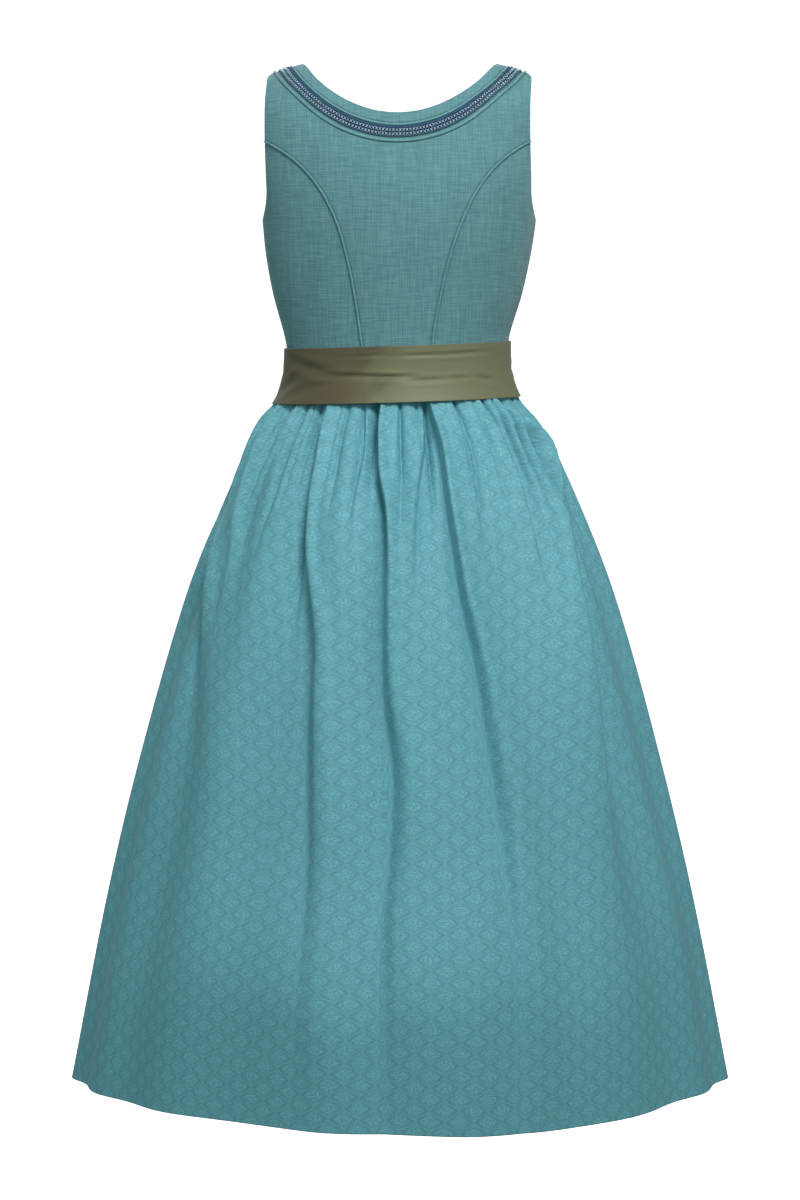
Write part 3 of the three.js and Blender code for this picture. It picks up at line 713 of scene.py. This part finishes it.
def sew(name, points, along, out, **inputs):
    """A plain mesh of threads laid on points. The inputs are those of the node tree."""
    mesh = bpy.data.meshes.new(f"{name}_points")
    mesh.from_pydata((points * MM).tolist(), [], [])
    for mark, vectors in (("along", along), ("out", out)):
        attribute = mesh.attributes.new(mark, "FLOAT_VECTOR", "POINT")
        attribute.data.foreach_set("vector", vectors.astype(np.float32).ravel())
    base = in_scene(f"{name}_points", mesh)
    modifier = base.modifiers.new("grains", "NODES")
    modifier.node_group = grains
    for item in grains.interface.items_tree:
        if item.name in inputs:
            modifier[item.identifier] = inputs[item.name]
    evaluated = base.evaluated_get(bpy.context.evaluated_depsgraph_get())
    made = in_scene(name, bpy.data.meshes.new_from_object(evaluated))
    bpy.data.objects.remove(base)
    return made


braid_cloth = braid_finish()
pale_thread = thread_finish()
# Lines down the band from its upper edge, how high each stands, and two rows of crossing threads.
BRAID_LINES = np.array([0, 0.4, 1.4, 3.4, 5.5, 7.5, 9.5, 12.0, 13.4, 14.0])
BRAID_TOP = np.array([0.2, 0.8, 1.0, 1.0, 0.75, 0.75, 0.75, 0.95, 0.8, 0.2]) * BRAID_RISE
BRAID_ROWS = ((2.9, 7.8), (7.8, 12.8))
BRAID_WALL, THREAD_LIFT = BRAID_RISE * 0.6, 0.25
for place, side, mirror in NECK_PARTS:
    angles, hand = neck_run(side, mirror)
    across, along = neck_line(side, angles[:, None], BRAID_NEAR + BRAID_LINES)
    along = np.minimum(along, CUT_TOP)
    turn = hand[:, None] * turn_of(across, along)
    points = on_bodice(side, turn, along, SEAM_GAP + np.broadcast_to(BRAID_TOP, turn.shape))
    run = run_along(points[:, len(BRAID_LINES) // 2])
    uv = np.stack(np.broadcast_arrays(run[:, None], BRAID_LINES), axis=-1)
    band = cloth(f"neck_braid_band_{place}", points, uv, braid_cloth, BRAID_WALL)
    settle(band, "braid", f"neck_braid_{place}")

    halves = 2 * int(round(run[-1] / BRAID_REPEAT))
    starts, ends = [], []
    for near, far in BRAID_ROWS:
        for k in range(halves):
            from_here, to_here = k * run[-1] / halves, (k + 1) * run[-1] / halves
            starts += [(from_here, near), (from_here, far)]
            ends += [(to_here, far), (to_here, near)]
    starts, ends = np.array(starts), np.array(ends)

    def on_band(places):
        """Points of the band, from (distance along it, distance from its upper edge)."""
        station = np.interp(places[:, 0], run, np.arange(len(run)))
        low = np.minimum(station.astype(int), len(run) - 2)
        part = (station - low)[:, None]
        line = np.interp(places[:, 1], BRAID_LINES, np.arange(len(BRAID_LINES)))
        column = np.minimum(line.astype(int), len(BRAID_LINES) - 2)
        aside = (line - column)[:, None]
        upper = points[low, column] * (1 - aside) + points[low, column + 1] * aside
        lower = points[low + 1, column] * (1 - aside) + points[low + 1, column + 1] * aside
        return upper * (1 - part) + lower * part

    begin, end = on_band(starts), on_band(ends)
    centre = (begin + end) / 2
    middle = (starts + ends) / 2
    away = unit(np.cross(on_band(middle + (1.0, 0)) - centre, on_band(middle + (0, 1.0)) - centre))
    away *= np.where(np.sum(away * (centre * (1, 1, 0)), axis=1) < 0, -1, 1)[:, None]
    threads = sew(
        f"neck_braid_threads_{place}", centre + away * THREAD_LIFT, end - begin, away,
        length=6.4 * MM, width=0.85 * MM, height=0.9 * MM, unevenness=0.2, seed=7, thread=pale_thread,
    )
    settle(threads, "braid")

# ------------------------------
# Skirt. Two breadths of jacquard, front and back, seamed at the sides and gathered by hand to the
# waist. The gathers open into a few long folds, and most of them die out above the hem.
# ------------------------------

SKIRT_WALL, HEM = 1.6, -1266
GATHERS, RIPPLES = 68, 15
# The petticoat's edge is wavy: the height of its waves, their number, where they start.
PETTICOAT_EDGE, PETTICOAT_WAVES = -1115, ((18, 7, 1), (10, 17, 0))
PETTICOAT_SPRING, SPRING_FROM, SPRING_FULL, SPRING_BEND, FALLS_IN = 16, 190, 10, 20, 80
HEM_SAG, SAG_PLACE, SAG_WIDTH, SAG_FROM = 8.5, 23, 26, -900
SKIRT_COLUMNS, FALL_EVERY = 500, 24
skirt = Table(
    "height half back front gather ripple point lean",
    [
        (-392, 139, 98.6, 102, 2.2, 0, 1, -3),
        (-418, 149.3, 109, 111.2, 3.5, 0.1, 1, -1.7),
        (-436, 163.2, 120.6, 119.9, 4.6, 0.5, 1.01, -1),
        (-462, 178.5, 134.4, 131, 5.6, 1.3, 1.03, -0.4),
        (-505, 198.6, 156.5, 149, 5.7, 2.6, 1.06, 0),
        (-570, 227, 184.5, 172.7, 4, 4.3, 1.1, 0),
        (-660, 262, 217.5, 202, 1.9, 5, 1.15, 0),
        (-800, 304.5, 255.5, 237, 0.6, 5, 1.19, 0),
        (-1010, 357, 303.5, 280.5, 0.1, 5, 1.25, 0),
        (-1266, 409, 350, 326, 0, 4.5, 1.32, 0),
    ],
)



def named_rows(columns, rows):
    """A short table with named columns."""
    row = namedtuple("row", columns)
    return [row(*values) for values in rows]


# The long folds. deep: how deep each is, below 0 for a ridge; steep, soft: the widths of its two sides, at
# the height WIDTHS_AT; hand: 1 if its soft side is the one with more degrees, -1 if the other; start, end:
# the heights between which it lies; takes: how much cloth it swallows; line: the bottom of the fold, as
# degrees round from the centre back and height.
WIDTHS_AT = -560
LONG_FOLDS = named_rows("deep steep soft hand start end takes line", [
    (18, 5, 22, -1, -406, -860, 30,
     [(-84, -410), (-82, -472), (-78, -547), (-72, -596), (-67, -650), (-63, -713), (-59, -780),
      (-57, -900)]),
    (-9, 12, 16, -1, -406, -1000, 30,
     [(-71, -410), (-69, -440), (-66, -476), (-62, -549), (-58, -593), (-55, -660), (-52, -770),
      (-48, -860)]),
    (15, 2.5, 9, -1, -406, -560, 30,
     [(-56, -410), (-54.5, -430), (-54, -459), (-57, -489), (-59, -522), (-60, -560)]),
    (16, 3, 30, -1, -406, -1350, 60,
     [(-36, -410), (-34, -440), (-32.4, -477), (-31.5, -536), (-29, -592), (-25.5, -646), (-23, -700),
      (-22.5, -760), (-21.5, -828), (-19.6, -942), (-18.5, -1034)]),
    (7, 3.5, 9, -1, -560, -720, 0, [(-33, -540), (-31.5, -580), (-30.5, -620), (-30, -700)]),
    (6, 3, 10, -1, -406, -600, 20, [(-17, -410), (-14.5, -470), (-16, -524), (-17, -580)]),
    (20, 3, 26, -1, -404, -1400, 60,
     [(-9, -410), (-8.6, -452), (-7.4, -500), (-5, -540), (-4.2, -590), (-4.6, -660), (-4.4, -755),
      (-2, -850), (-2.6, -955), (-3.8, -1020), (-3, HEM)]),
    (5, 2.5, 6, 1, -406, -540, 10, [(0.5, -410), (0, -470), (1.5, -520)]),
    (8, 4, 14, 1, -406, -720, 15, [(13.5, -410), (10.5, -470), (7, -520), (5.5, -576), (5, -700)]),
    (19, 3, 34, -1, -406, -1400, 60,
     [(14, -410), (15.5, -462), (15.5, -520), (16, -580), (16.5, -640), (18.5, -720), (19.5, -800),
      (20.5, -880), (21, -1000)]),
    (8, 3, 12, 1, -406, -620, 25, [(27, -410), (28.5, -450), (29, -490), (27, -540), (25, -600)]),
    (9, 3.5, 16, 1, -406, -680, 30, [(42, -410), (45, -450), (45, -490), (44, -560), (42, -640)]),
    (-24, 3.5, 36, -1, -406, -1100, 40,
     [(50, -410), (57, -430), (62, -460), (59, -519), (54, -588), (50, -651), (48, -730), (47, -797),
      (46, -900)]),
    (14, 6, 12, 1, -406, -1050, 10,
     [(55, -410), (61, -430), (66, -460), (63.5, -530), (60, -589), (56.5, -652), (55, -722), (54, -792),
      (54, -900)]),
    (9, 16, 22, 1, -520, -1180, 10, [(70, -560), (70, -700), (69, -900), (70, -1100)]),
    (17, 3.5, 30, 1, -410, -1100, 50, [(104, -410), (106, -560), (112, -800), (114, HEM)]),
    (10, 3, 14, -1, -410, -680, 30, [(126, -410), (127, -560), (130, -700)]),
    (18, 3, 32, 1, -410, -1150, 60, [(146, -410), (149, -560), (152, -800), (150, HEM)]),
    (16, 3, 24, -1, -410, -1000, 50, [(171, -410), (173, -560), (176, -800), (178, HEM)]),
    (19, 3, 32, -1, -410, -1160, 60, [(193, -410), (196, -560), (198, -800), (201, HEM)]),
    (10, 3, 14, 1, -410, -680, 30, [(216, -410), (218, -560), (219, -700)]),
    (17, 3, 28, -1, -410, -1080, 50, [(237, -410), (238, -560), (241, -800), (243, HEM)]),
    (15, 4, 26, 1, -410, -940, 40, [(258, -410), (257, -560), (260, -800), (263, HEM)]),
])
# A fold's cloth stands up in a lip beside its steep side, which leans over the valley. Both are placed and
# measured in widths of the steep side. Lower down the fold opens, the steep side more than the soft one.
LIP, LIP_PLACE, LIP_WIDTH = 0.35, 2.6, 1.6
TUCK, TUCK_PLACE, TUCK_WIDTH = 0.2, 2.2, 1.5
FOLD_OPENS_FROM, FOLD_OPEN_AT, STEEP_OPENS, SOFT_OPENS = 520, 900, 1.8, 0.4
# Waves of uneven gathering at the waist: their size in degrees, their number, where they start.
CROWDING = ((1.5, 3, 30), (0.8, 8, 75))
# The gathers fade downwards to a small share of their depth, which is kept.
GATHER_DEPTH, GATHER_WIDTH, GATHER_SHARP, GATHER_KEPT = 1.9, 0.5, 1.15, 0.06

chance = np.random.default_rng(21)
gather_shift = chance.uniform(-0.26, 0.26, GATHERS)
gather_depth = chance.uniform(0.25, 1.3, GATHERS)
gather_fade = chance.uniform(-560, -400, GATHERS)


def skirt_degrees(share, height):
    """How far round a point of the cloth lies. Gathering crowds it unevenly at the waist."""
    even = share * 360 - 90
    uneven = sum(size * np.sin(np.radians(count * even + start)) for size, count, start in CROWDING)
    return even + ease(height, -760, -430) * uneven


def gathers_out(share, height):
    """Sharp little valleys with rounded crests between them, each with its own depth and end."""
    out = np.ones_like(share * height)
    for k in range(GATHERS):
        away = (share - (k + gather_shift[k]) / GATHERS + 0.5) % 1 - 0.5
        distance = np.abs(away) * GATHERS * 2
        kept = GATHER_KEPT + (1 - GATHER_KEPT) * ease(height, gather_fade[k] - 60, gather_fade[k] + 40)
        out -= kept * gather_depth[k] * GATHER_DEPTH * np.exp(-((distance / GATHER_WIDTH) ** GATHER_SHARP))
    return out * skirt.gather(height)


def fold_distance(fold, degrees, height):
    """Millimetres round the skirt from a fold's line, and how strong the fold is at that height."""
    places, heights = zip(*reversed(fold.line))
    away = (degrees - Table.curve(heights, places)(height) + 540) % 360 - 180
    begin = 1 - ease(height, fold.start - 40, fold.start + 10)
    fade = ease(height, fold.end, fold.end * 0.4 + fold.start * 0.6)
    return np.radians(away) * skirt.half(height), begin * fade


def fold_shape(fold, degrees, height):
    """How far in a fold takes the cloth, and how far its lip leans over the valley."""
    distance, strength = fold_distance(fold, degrees, height)
    distance = distance * fold.hand
    opened = ease(-height, FOLD_OPENS_FROM, FOLD_OPEN_AT)
    spread = skirt.half(height) / skirt.half(WIDTHS_AT)
    steep = fold.steep * spread * (1 + STEEP_OPENS * opened)
    soft = fold.soft * spread * (1 + SOFT_OPENS * opened)
    valley = np.where(distance < 0, bell(distance / steep), np.exp(-np.abs(distance / soft) ** 1.2))
    lip = bell((distance / steep + LIP_PLACE) / LIP_WIDTH) * (fold.deep > 0)
    lean = bell((distance / steep + TUCK_PLACE) / TUCK_WIDTH) * max(fold.deep, 0)
    return fold.deep * strength * (valley - LIP * lip), fold.hand * TUCK * strength * lean


def on_oval(form, angle, height, out, point=1, drop=0):
    """A point of an oval section of a form, moved out. point: over 1 draws its front and back to a point."""
    half, across = form.half(height), np.cos(angle)
    depth = np.where(across > 0, form.back(height), form.front(height))
    y = -depth * np.sign(across) * np.abs(across) ** point
    place = np.stack([half * np.sin(angle) + form.lean(height), y, height - drop], axis=-1)
    away = unit(np.stack([np.sin(angle) / half, -across / depth, 0 * angle], axis=-1))
    return place + away * out[..., None]


def skirt_points(share, height, relief=1):
    """Points of the skirt's outside. With relief 0 it is the smooth form without gathers and folds."""
    degrees = skirt_degrees(share, height)
    ripple = np.sin(share * math.tau * RIPPLES + 2 * np.sin(share * math.tau * 2))
    out = gathers_out(share, height) + skirt.ripple(height) * ripple
    # A petticoat holds the skirt out, front and back, down to its own edge. Below it the cloth falls in.
    waves = sum(size * np.sin(share * math.tau * count + start) for size, count, start in PETTICOAT_WAVES)
    edge = PETTICOAT_EDGE + waves
    below = np.hypot(np.maximum(edge - height, 0), SPRING_BEND) - SPRING_BEND
    held = ease(height, edge + SPRING_FROM, edge + SPRING_FULL) - below / FALLS_IN
    out = out + PETTICOAT_SPRING * np.cos(np.radians(degrees)) ** 2 * held
    # The hem hangs a little lower on the right of the back.
    sag = HEM_SAG * bell((degrees - SAG_PLACE) / SAG_WIDTH) * ease(height, SAG_FROM, HEM)
    over = 0
    for fold in LONG_FOLDS:
        inward, lean = fold_shape(fold, degrees, height)
        out, over = out - inward, over + lean
    angle = np.radians(degrees) + relief * over / skirt.half(height)
    return on_oval(skirt, angle, height, relief * out, skirt.point(height), relief * sag)


def woven_place(share, height):
    """Where on the flat cloth each point lies. The folds swallow cloth, and let it out again lower down."""
    points = skirt_points(share, height, relief=0)
    run = np.linalg.norm(np.diff(points, axis=1), axis=2)
    across = np.concatenate([np.zeros((len(points), 1)), np.cumsum(run, axis=1)], axis=1)
    middle = across.shape[1] // 2
    across = across - across[:, middle : middle + 1]
    degrees = skirt_degrees(share, height)
    for fold in LONG_FOLDS:
        distance, _ = fold_distance(fold, degrees, height)
        kept = ease(height, fold.end, fold.start) * fold.takes
        step = kept * ease(distance, -4, 4)
        across = across + step - step[:, middle : middle + 1]
    fall = np.linalg.norm(np.diff(points[:, ::FALL_EVERY], axis=0), axis=2).mean(axis=1)
    down = -np.concatenate([[0], np.cumsum(fall)])[:, None]
    return np.stack(np.broadcast_arrays(across, down), axis=-1)


REPEAT_ACROSS, REPEAT_DOWN = 0.0355, 0.0272
LOZENGE_HALF, LOZENGE_TALL, LOZENGE_ROUND, JACQUARD_RIB = 0.45, 0.35, 1.25, 0.0024
JACQUARD_BLUE = rgb(110, 177, 189)


def jacquard_finish():
    """Speckled lozenges in staggered rows, dark hooks round their tips, and a pale lattice between."""
    finish = Finish("jacquard", Sheen_Weight=0.06, Sheen_Roughness=0.4, Specular_IOR_Level=0.2)
    u, v = finish.uv()

    def lozenges(shift):
        """How far across from the middle of a lozenge, and how far out, 1 being its outline."""
        across = abs((u / REPEAT_ACROSS + shift).fraction() - 0.5)
        down = abs((v / REPEAT_DOWN + shift).fraction() - 0.5)
        return across, (across / LOZENGE_HALF) ** LOZENGE_ROUND + (down / LOZENGE_TALL) ** LOZENGE_ROUND

    near_across, near = lozenges(0.5)
    next_across, following = lozenges(0)
    first = near < following
    rim = near.maths("MINIMUM", near, following)
    tip = (near_across * first + next_across * (1 - first)).steps(0.06, 0.3)
    hook = rim.steps(0.6, 0.8) * rim.steps(0.9, 1.12, 1.0, 0.0) * (0.15 + tip * 0.85)
    lozenge = rim.steps(0.5, 0.72, 1.0, 0.0)
    lattice = rim.steps(1.1, 1.2)
    ribs = (v / JACQUARD_RIB).wave()
    speckle = finish.noise(u * 380, v * 620, 5.0, detail=2).steps(0.38, 0.62) - 0.5
    cloud = finish.noise(u * 7, v * 7, 2.2, detail=3)
    tone = 0.95 + lattice * 0.03 + lozenge * (0.03 + ribs * 0.03 + speckle * 0.2) - hook * 0.14
    tone = tone + cloud * 0.08 + speckle * 0.16
    finish.feed("Base Color", finish.shade(JACQUARD_BLUE, tone))
    finish.feed("Roughness", 0.62 - lozenge * 0.08)
    finish.bump(lozenge * 0.4 + lattice * 0.5 + speckle * 0.4 + ribs * lozenge * 0.3, 0.3, 0.0003)
    return finish.material


jacquard_cloth = jacquard_finish()
skirt_heights = np.concatenate([
    np.linspace(WAIST_SEAM - SEAM_GAP / 2, -520, 30)[:-1], np.linspace(-520, -700, 24)[:-1],
    np.linspace(-700, -1262, 42), [-1264.5, HEM],
])
for place, from_share, to_share in (("back", 0.0, 0.5), ("front", 0.5, 1.0)):
    gap = SEAM_GAP / 2 / (4 * skirt.half(skirt_heights))[:, None]
    step = np.linspace(0, 1, SKIRT_COLUMNS + 1)
    share = (from_share + gap) * (1 - step) + (to_share - gap) * step
    height = np.broadcast_to(skirt_heights[:, None], share.shape)
    points, uv = skirt_points(share, height), woven_place(share, height)
    breadth = cloth(f"skirt_{place}_breadth", points, uv, jacquard_cloth, SKIRT_WALL)
    settle(breadth, "jacquard", f"skirt_{place}")

# ------------------------------
# Sash. A strip of heavy satin wound once round the waist over the join of bodice and skirt. Its
# ends lap at the centre front, and the satin is pressed into a few soft troughs.
# ------------------------------

SASH_WALL, SASH_TILT, SASH_LAP = 1.2, 0.033, 24
SASH_TOP, SASH_FOOT, SASH_HALF, SASH_FLAT = -348, -416, 140.8, 0.07
sash_form = Table(
    "height half back front lean",
    [
        (-344, 140.8, 102.3, 105.6, -3),
        (-366, 141.1, 102.5, 105.8, -3),
        (-385, 143.2, 104.6, 107.8, -2.7),
        (-401, 147.6, 109, 111.8, -2.4),
        (-411, 151.8, 112.8, 115.6, -1.8),
        (-422, 158.5, 119, 121.4, -1.4),
    ],
)
# Troughs in the satin. turn, height: the middle of each; long, wide: its half sizes in degrees and
# millimetres; slant: how many millimetres it climbs in a degree; deep: its depth. A rim stands up on both
# sides of it.
RIM, RIM_PLACE, RIM_WIDTH = 0.3, 1.9, 0.9
SASH_CREASES = named_rows("turn height long wide slant deep", [
    (-18, -384, 19, 3.2, -0.12, 2.4),
    (-2, -385.5, 9, 2.4, 0, 1.4),
    (13, -391, 9, 2.8, 0.03, 1.5),
    (32, -390, 6, 2.8, 0, 1.4),
    (48, -392, 6, 3.5, -0.35, 1.8),
    (-15, -359, 8, 2, 0.02, 1.0),
    (10, -360, 9, 2.2, 0.02, 1.1),
    (33, -360, 16, 2.6, 0.04, 1.4),
    (-50, -372, 15, 6, -0.5, 2.2),
    (-44, -396, 13, 6, 0.35, 1.9),
    (-66, -390, 10, 7, 0.8, 1.9),
    (105, -380, 22, 4.5, 0.08, 1.6),
    (140, -392, 26, 4, -0.1, 1.6),
    (-120, -374, 26, 4.5, -0.08, 1.6),
    (-150, -394, 20, 4, 0.08, 1.4),
    (170, -366, 18, 4, 0.05, 1.3),
])


def sash_points(degrees, height):
    """Points of the sash's outside. It sits a little higher on the right, and its upper end laps over."""
    rise = SASH_TILT * SASH_HALF * np.sin(np.radians(degrees))
    out = ease(degrees, 180 - SASH_LAP, 180) * (SASH_WALL + 2 * SEAM_GAP)
    for crease in SASH_CREASES:
        away = (degrees - crease.turn + 540) % 360 - 180
        off = (height - crease.height - crease.slant * away) / crease.wide
        trough = bell(off) - RIM * bell((np.abs(off) - RIM_PLACE) / RIM_WIDTH)
        out = out - crease.deep * bell(away / crease.long) * trough
    return on_oval(sash_form, np.radians(degrees), height + rise, out)


# The satin's olive, and the brown of its painted shade. Where along the strip the painted shade is darkest,
# in metres from the centre back, and how far apart its patches lie.
OLIVE, PAINTED_SHADE_BROWN = rgb(118, 121, 89), rgb(100, 86, 62)
PAINTED_SHADE_AT, PAINTED_SHADE_REPEAT = 0.33, 0.44


def satin_finish():
    """Olive satin, with brown, darker patches of painted shade along the strip: one on the left of the back,
    and one on the right, round towards the front.
    """
    finish = Finish("satin", Roughness=0.52, Specular_IOR_Level=0.35, Sheen_Weight=0.1)
    u, v = finish.uv()
    thread = finish.noise(u * 40, v * 1500, 2.0, detail=2)
    cloud = finish.noise(u * 12, v * 30, 4.0, detail=3)
    shade_edge_wobble = finish.noise(u * 16, v * 22, 8.0, detail=2) - 0.5
    # Painted shade: wavering patches along the strip are made brown and darker.
    painted_shade = ((u - PAINTED_SHADE_AT) / PAINTED_SHADE_REPEAT + shade_edge_wobble * 0.35).wave().steps(0.45, 0.925)
    colour = finish.blend(painted_shade * 0.75, OLIVE, PAINTED_SHADE_BROWN)
    tone = (0.86 + thread * 0.12 + cloud * 0.16) * (1 - painted_shade * 0.22)
    finish.feed("Base Color", finish.shade(colour, tone))
    finish.bump(thread, 0.2, 0.0002)
    return finish.material


satin_cloth = satin_finish()
lines = np.array([0, 0.01, 0.03, *np.linspace(0.06, 0.94, 40), 0.97, 0.99, 1.0])[:, None]
degrees = np.linspace(-180, 180 + SASH_LAP, 481)
degrees, height = np.broadcast_arrays(degrees, SASH_TOP + (SASH_FOOT - SASH_TOP) * lines)
points = sash_points(degrees, height)
run = run_along(points[20])
middle = int(np.argmin(np.abs(degrees[0])))
uv = np.stack([np.broadcast_to(run - run[middle], degrees.shape), height], axis=-1)
sash = settle(cloth("sash_strip", points, uv, satin_cloth, SASH_WALL), "satin", "sash")

# ------------------------------
# The bodice's pieces: each one's flat size is worked out from its area and height, and nothing uses it. The
# shoulder straps are cut in one with the centre panels.
# ------------------------------

# A panel follows the body's curve, so it is longer than it stands tall, and wider than its mean in places.
LONGER_THAN_TALL, WIDEST_TO_MEAN = 1.06, 1.4


def declare_panel(piece):
    area = sum(face.area for face in piece.data.polygons)
    length = float(np.ptp([corner.co.z for corner in piece.data.vertices])) * LONGER_THAN_TALL
    flat = area / length * WIDEST_TO_MEAN, length


declare_panel(back_centre)
for word in ("left", "right"):
    declare_panel(front_centre[word])
for panel in side_panels:
    declare_panel(panel)

# ------------------------------
# The studio: a pale floor that curves up into a wall, a soft key light high on the right, a wide fill
# on the left, a weak light from the right side, one from behind, and the camera. Sizes are metres.
# ------------------------------

FLOOR, FLOOR_NEAR, FLOOR_FAR, FLOOR_CURVE, FLOOR_HALF, WALL_TOP = -1.5, -18, 14, 2, 20, 14


def floor_sheet():
    bend = np.linspace(0.1, math.pi / 2, 12)
    bend_y, bend_z = FLOOR_FAR + FLOOR_CURVE * np.sin(bend), FLOOR + FLOOR_CURVE * (1 - np.cos(bend))
    wall = FLOOR_FAR + FLOOR_CURVE
    sweep = [(FLOOR_NEAR, FLOOR), (FLOOR_FAR, FLOOR), *zip(bend_y, bend_z), (wall, WALL_TOP)]
    points = [(x, y, z) for y, z in sweep for x in (-FLOOR_HALF, FLOOR_HALF)]
    mesh = bpy.data.meshes.new("floor")
    mesh.from_pydata(points, [], quads(np.arange(len(points)).reshape(-1, 2)).tolist())
    mesh.shade_smooth()
    glow = {"Emission_Color": (1, 1, 1, 1), "Emission_Strength": 1.0}
    finish = Finish("floor", Base_Color=(0.9, 0.9, 0.9, 1), Roughness=0.9, **glow)
    mesh.materials.append(finish.material)
    floor = in_scene("floor", mesh)
    floor.visible_diffuse = floor.visible_glossy = False
    return floor


floor_sheet()


def soft_light(name, place, target, size, power, spread=180, colour=(1, 1, 1)):
    light = bpy.data.lights.new(name, "AREA")
    light.shape, light.size, light.energy = "DISK", size, power
    light.spread, light.color = math.radians(spread), colour
    lamp = in_scene(name, light)
    lamp.location = place
    lamp.rotation_euler = (Vector(target) - Vector(place)).to_track_quat("-Z", "Y").to_euler()


soft_light("key", (0.75, -2.25, 2.0), (0, 0, -0.42), 1.3, 25, spread=100, colour=(1, 0.965, 0.955))
soft_light("fill", (-2.7, -2.4, 0.4), (0, 0, -0.7), 2.0, 19, colour=(0.88, 1, 1))
soft_light("side", (2.7, -1.9, 0.1), (0, 0, -0.85), 1.6, 8.5, colour=(0.95, 1, 1))
soft_light("back", (-1.5, 3.0, 2.0), (0, 0, -0.6), 1.4, 40)

world = bpy.data.worlds.new("studio")
world.use_nodes = True
background = world.node_tree.nodes["Background"].inputs
background["Color"].default_value, background["Strength"].default_value = (0.82, 1, 1, 1), 0.22
bpy.context.scene.world = world
bpy.context.scene.view_settings.view_transform = "Standard"

CAMERA_BACK, CAMERA_DOWN, LOOKS_DOWN = 4.94183, 0.27348, 4.537
camera = bpy.data.cameras.new("camera")
camera.sensor_width, camera.lens, camera.clip_end = 36, 119.3, 100
camera_object = in_scene("camera", camera)
camera_object.location = (0, -CAMERA_BACK, -CAMERA_DOWN)
camera_object.rotation_euler = (math.radians(90 - LOOKS_DOWN), 0, 0)
bpy.context.scene.camera = camera_object
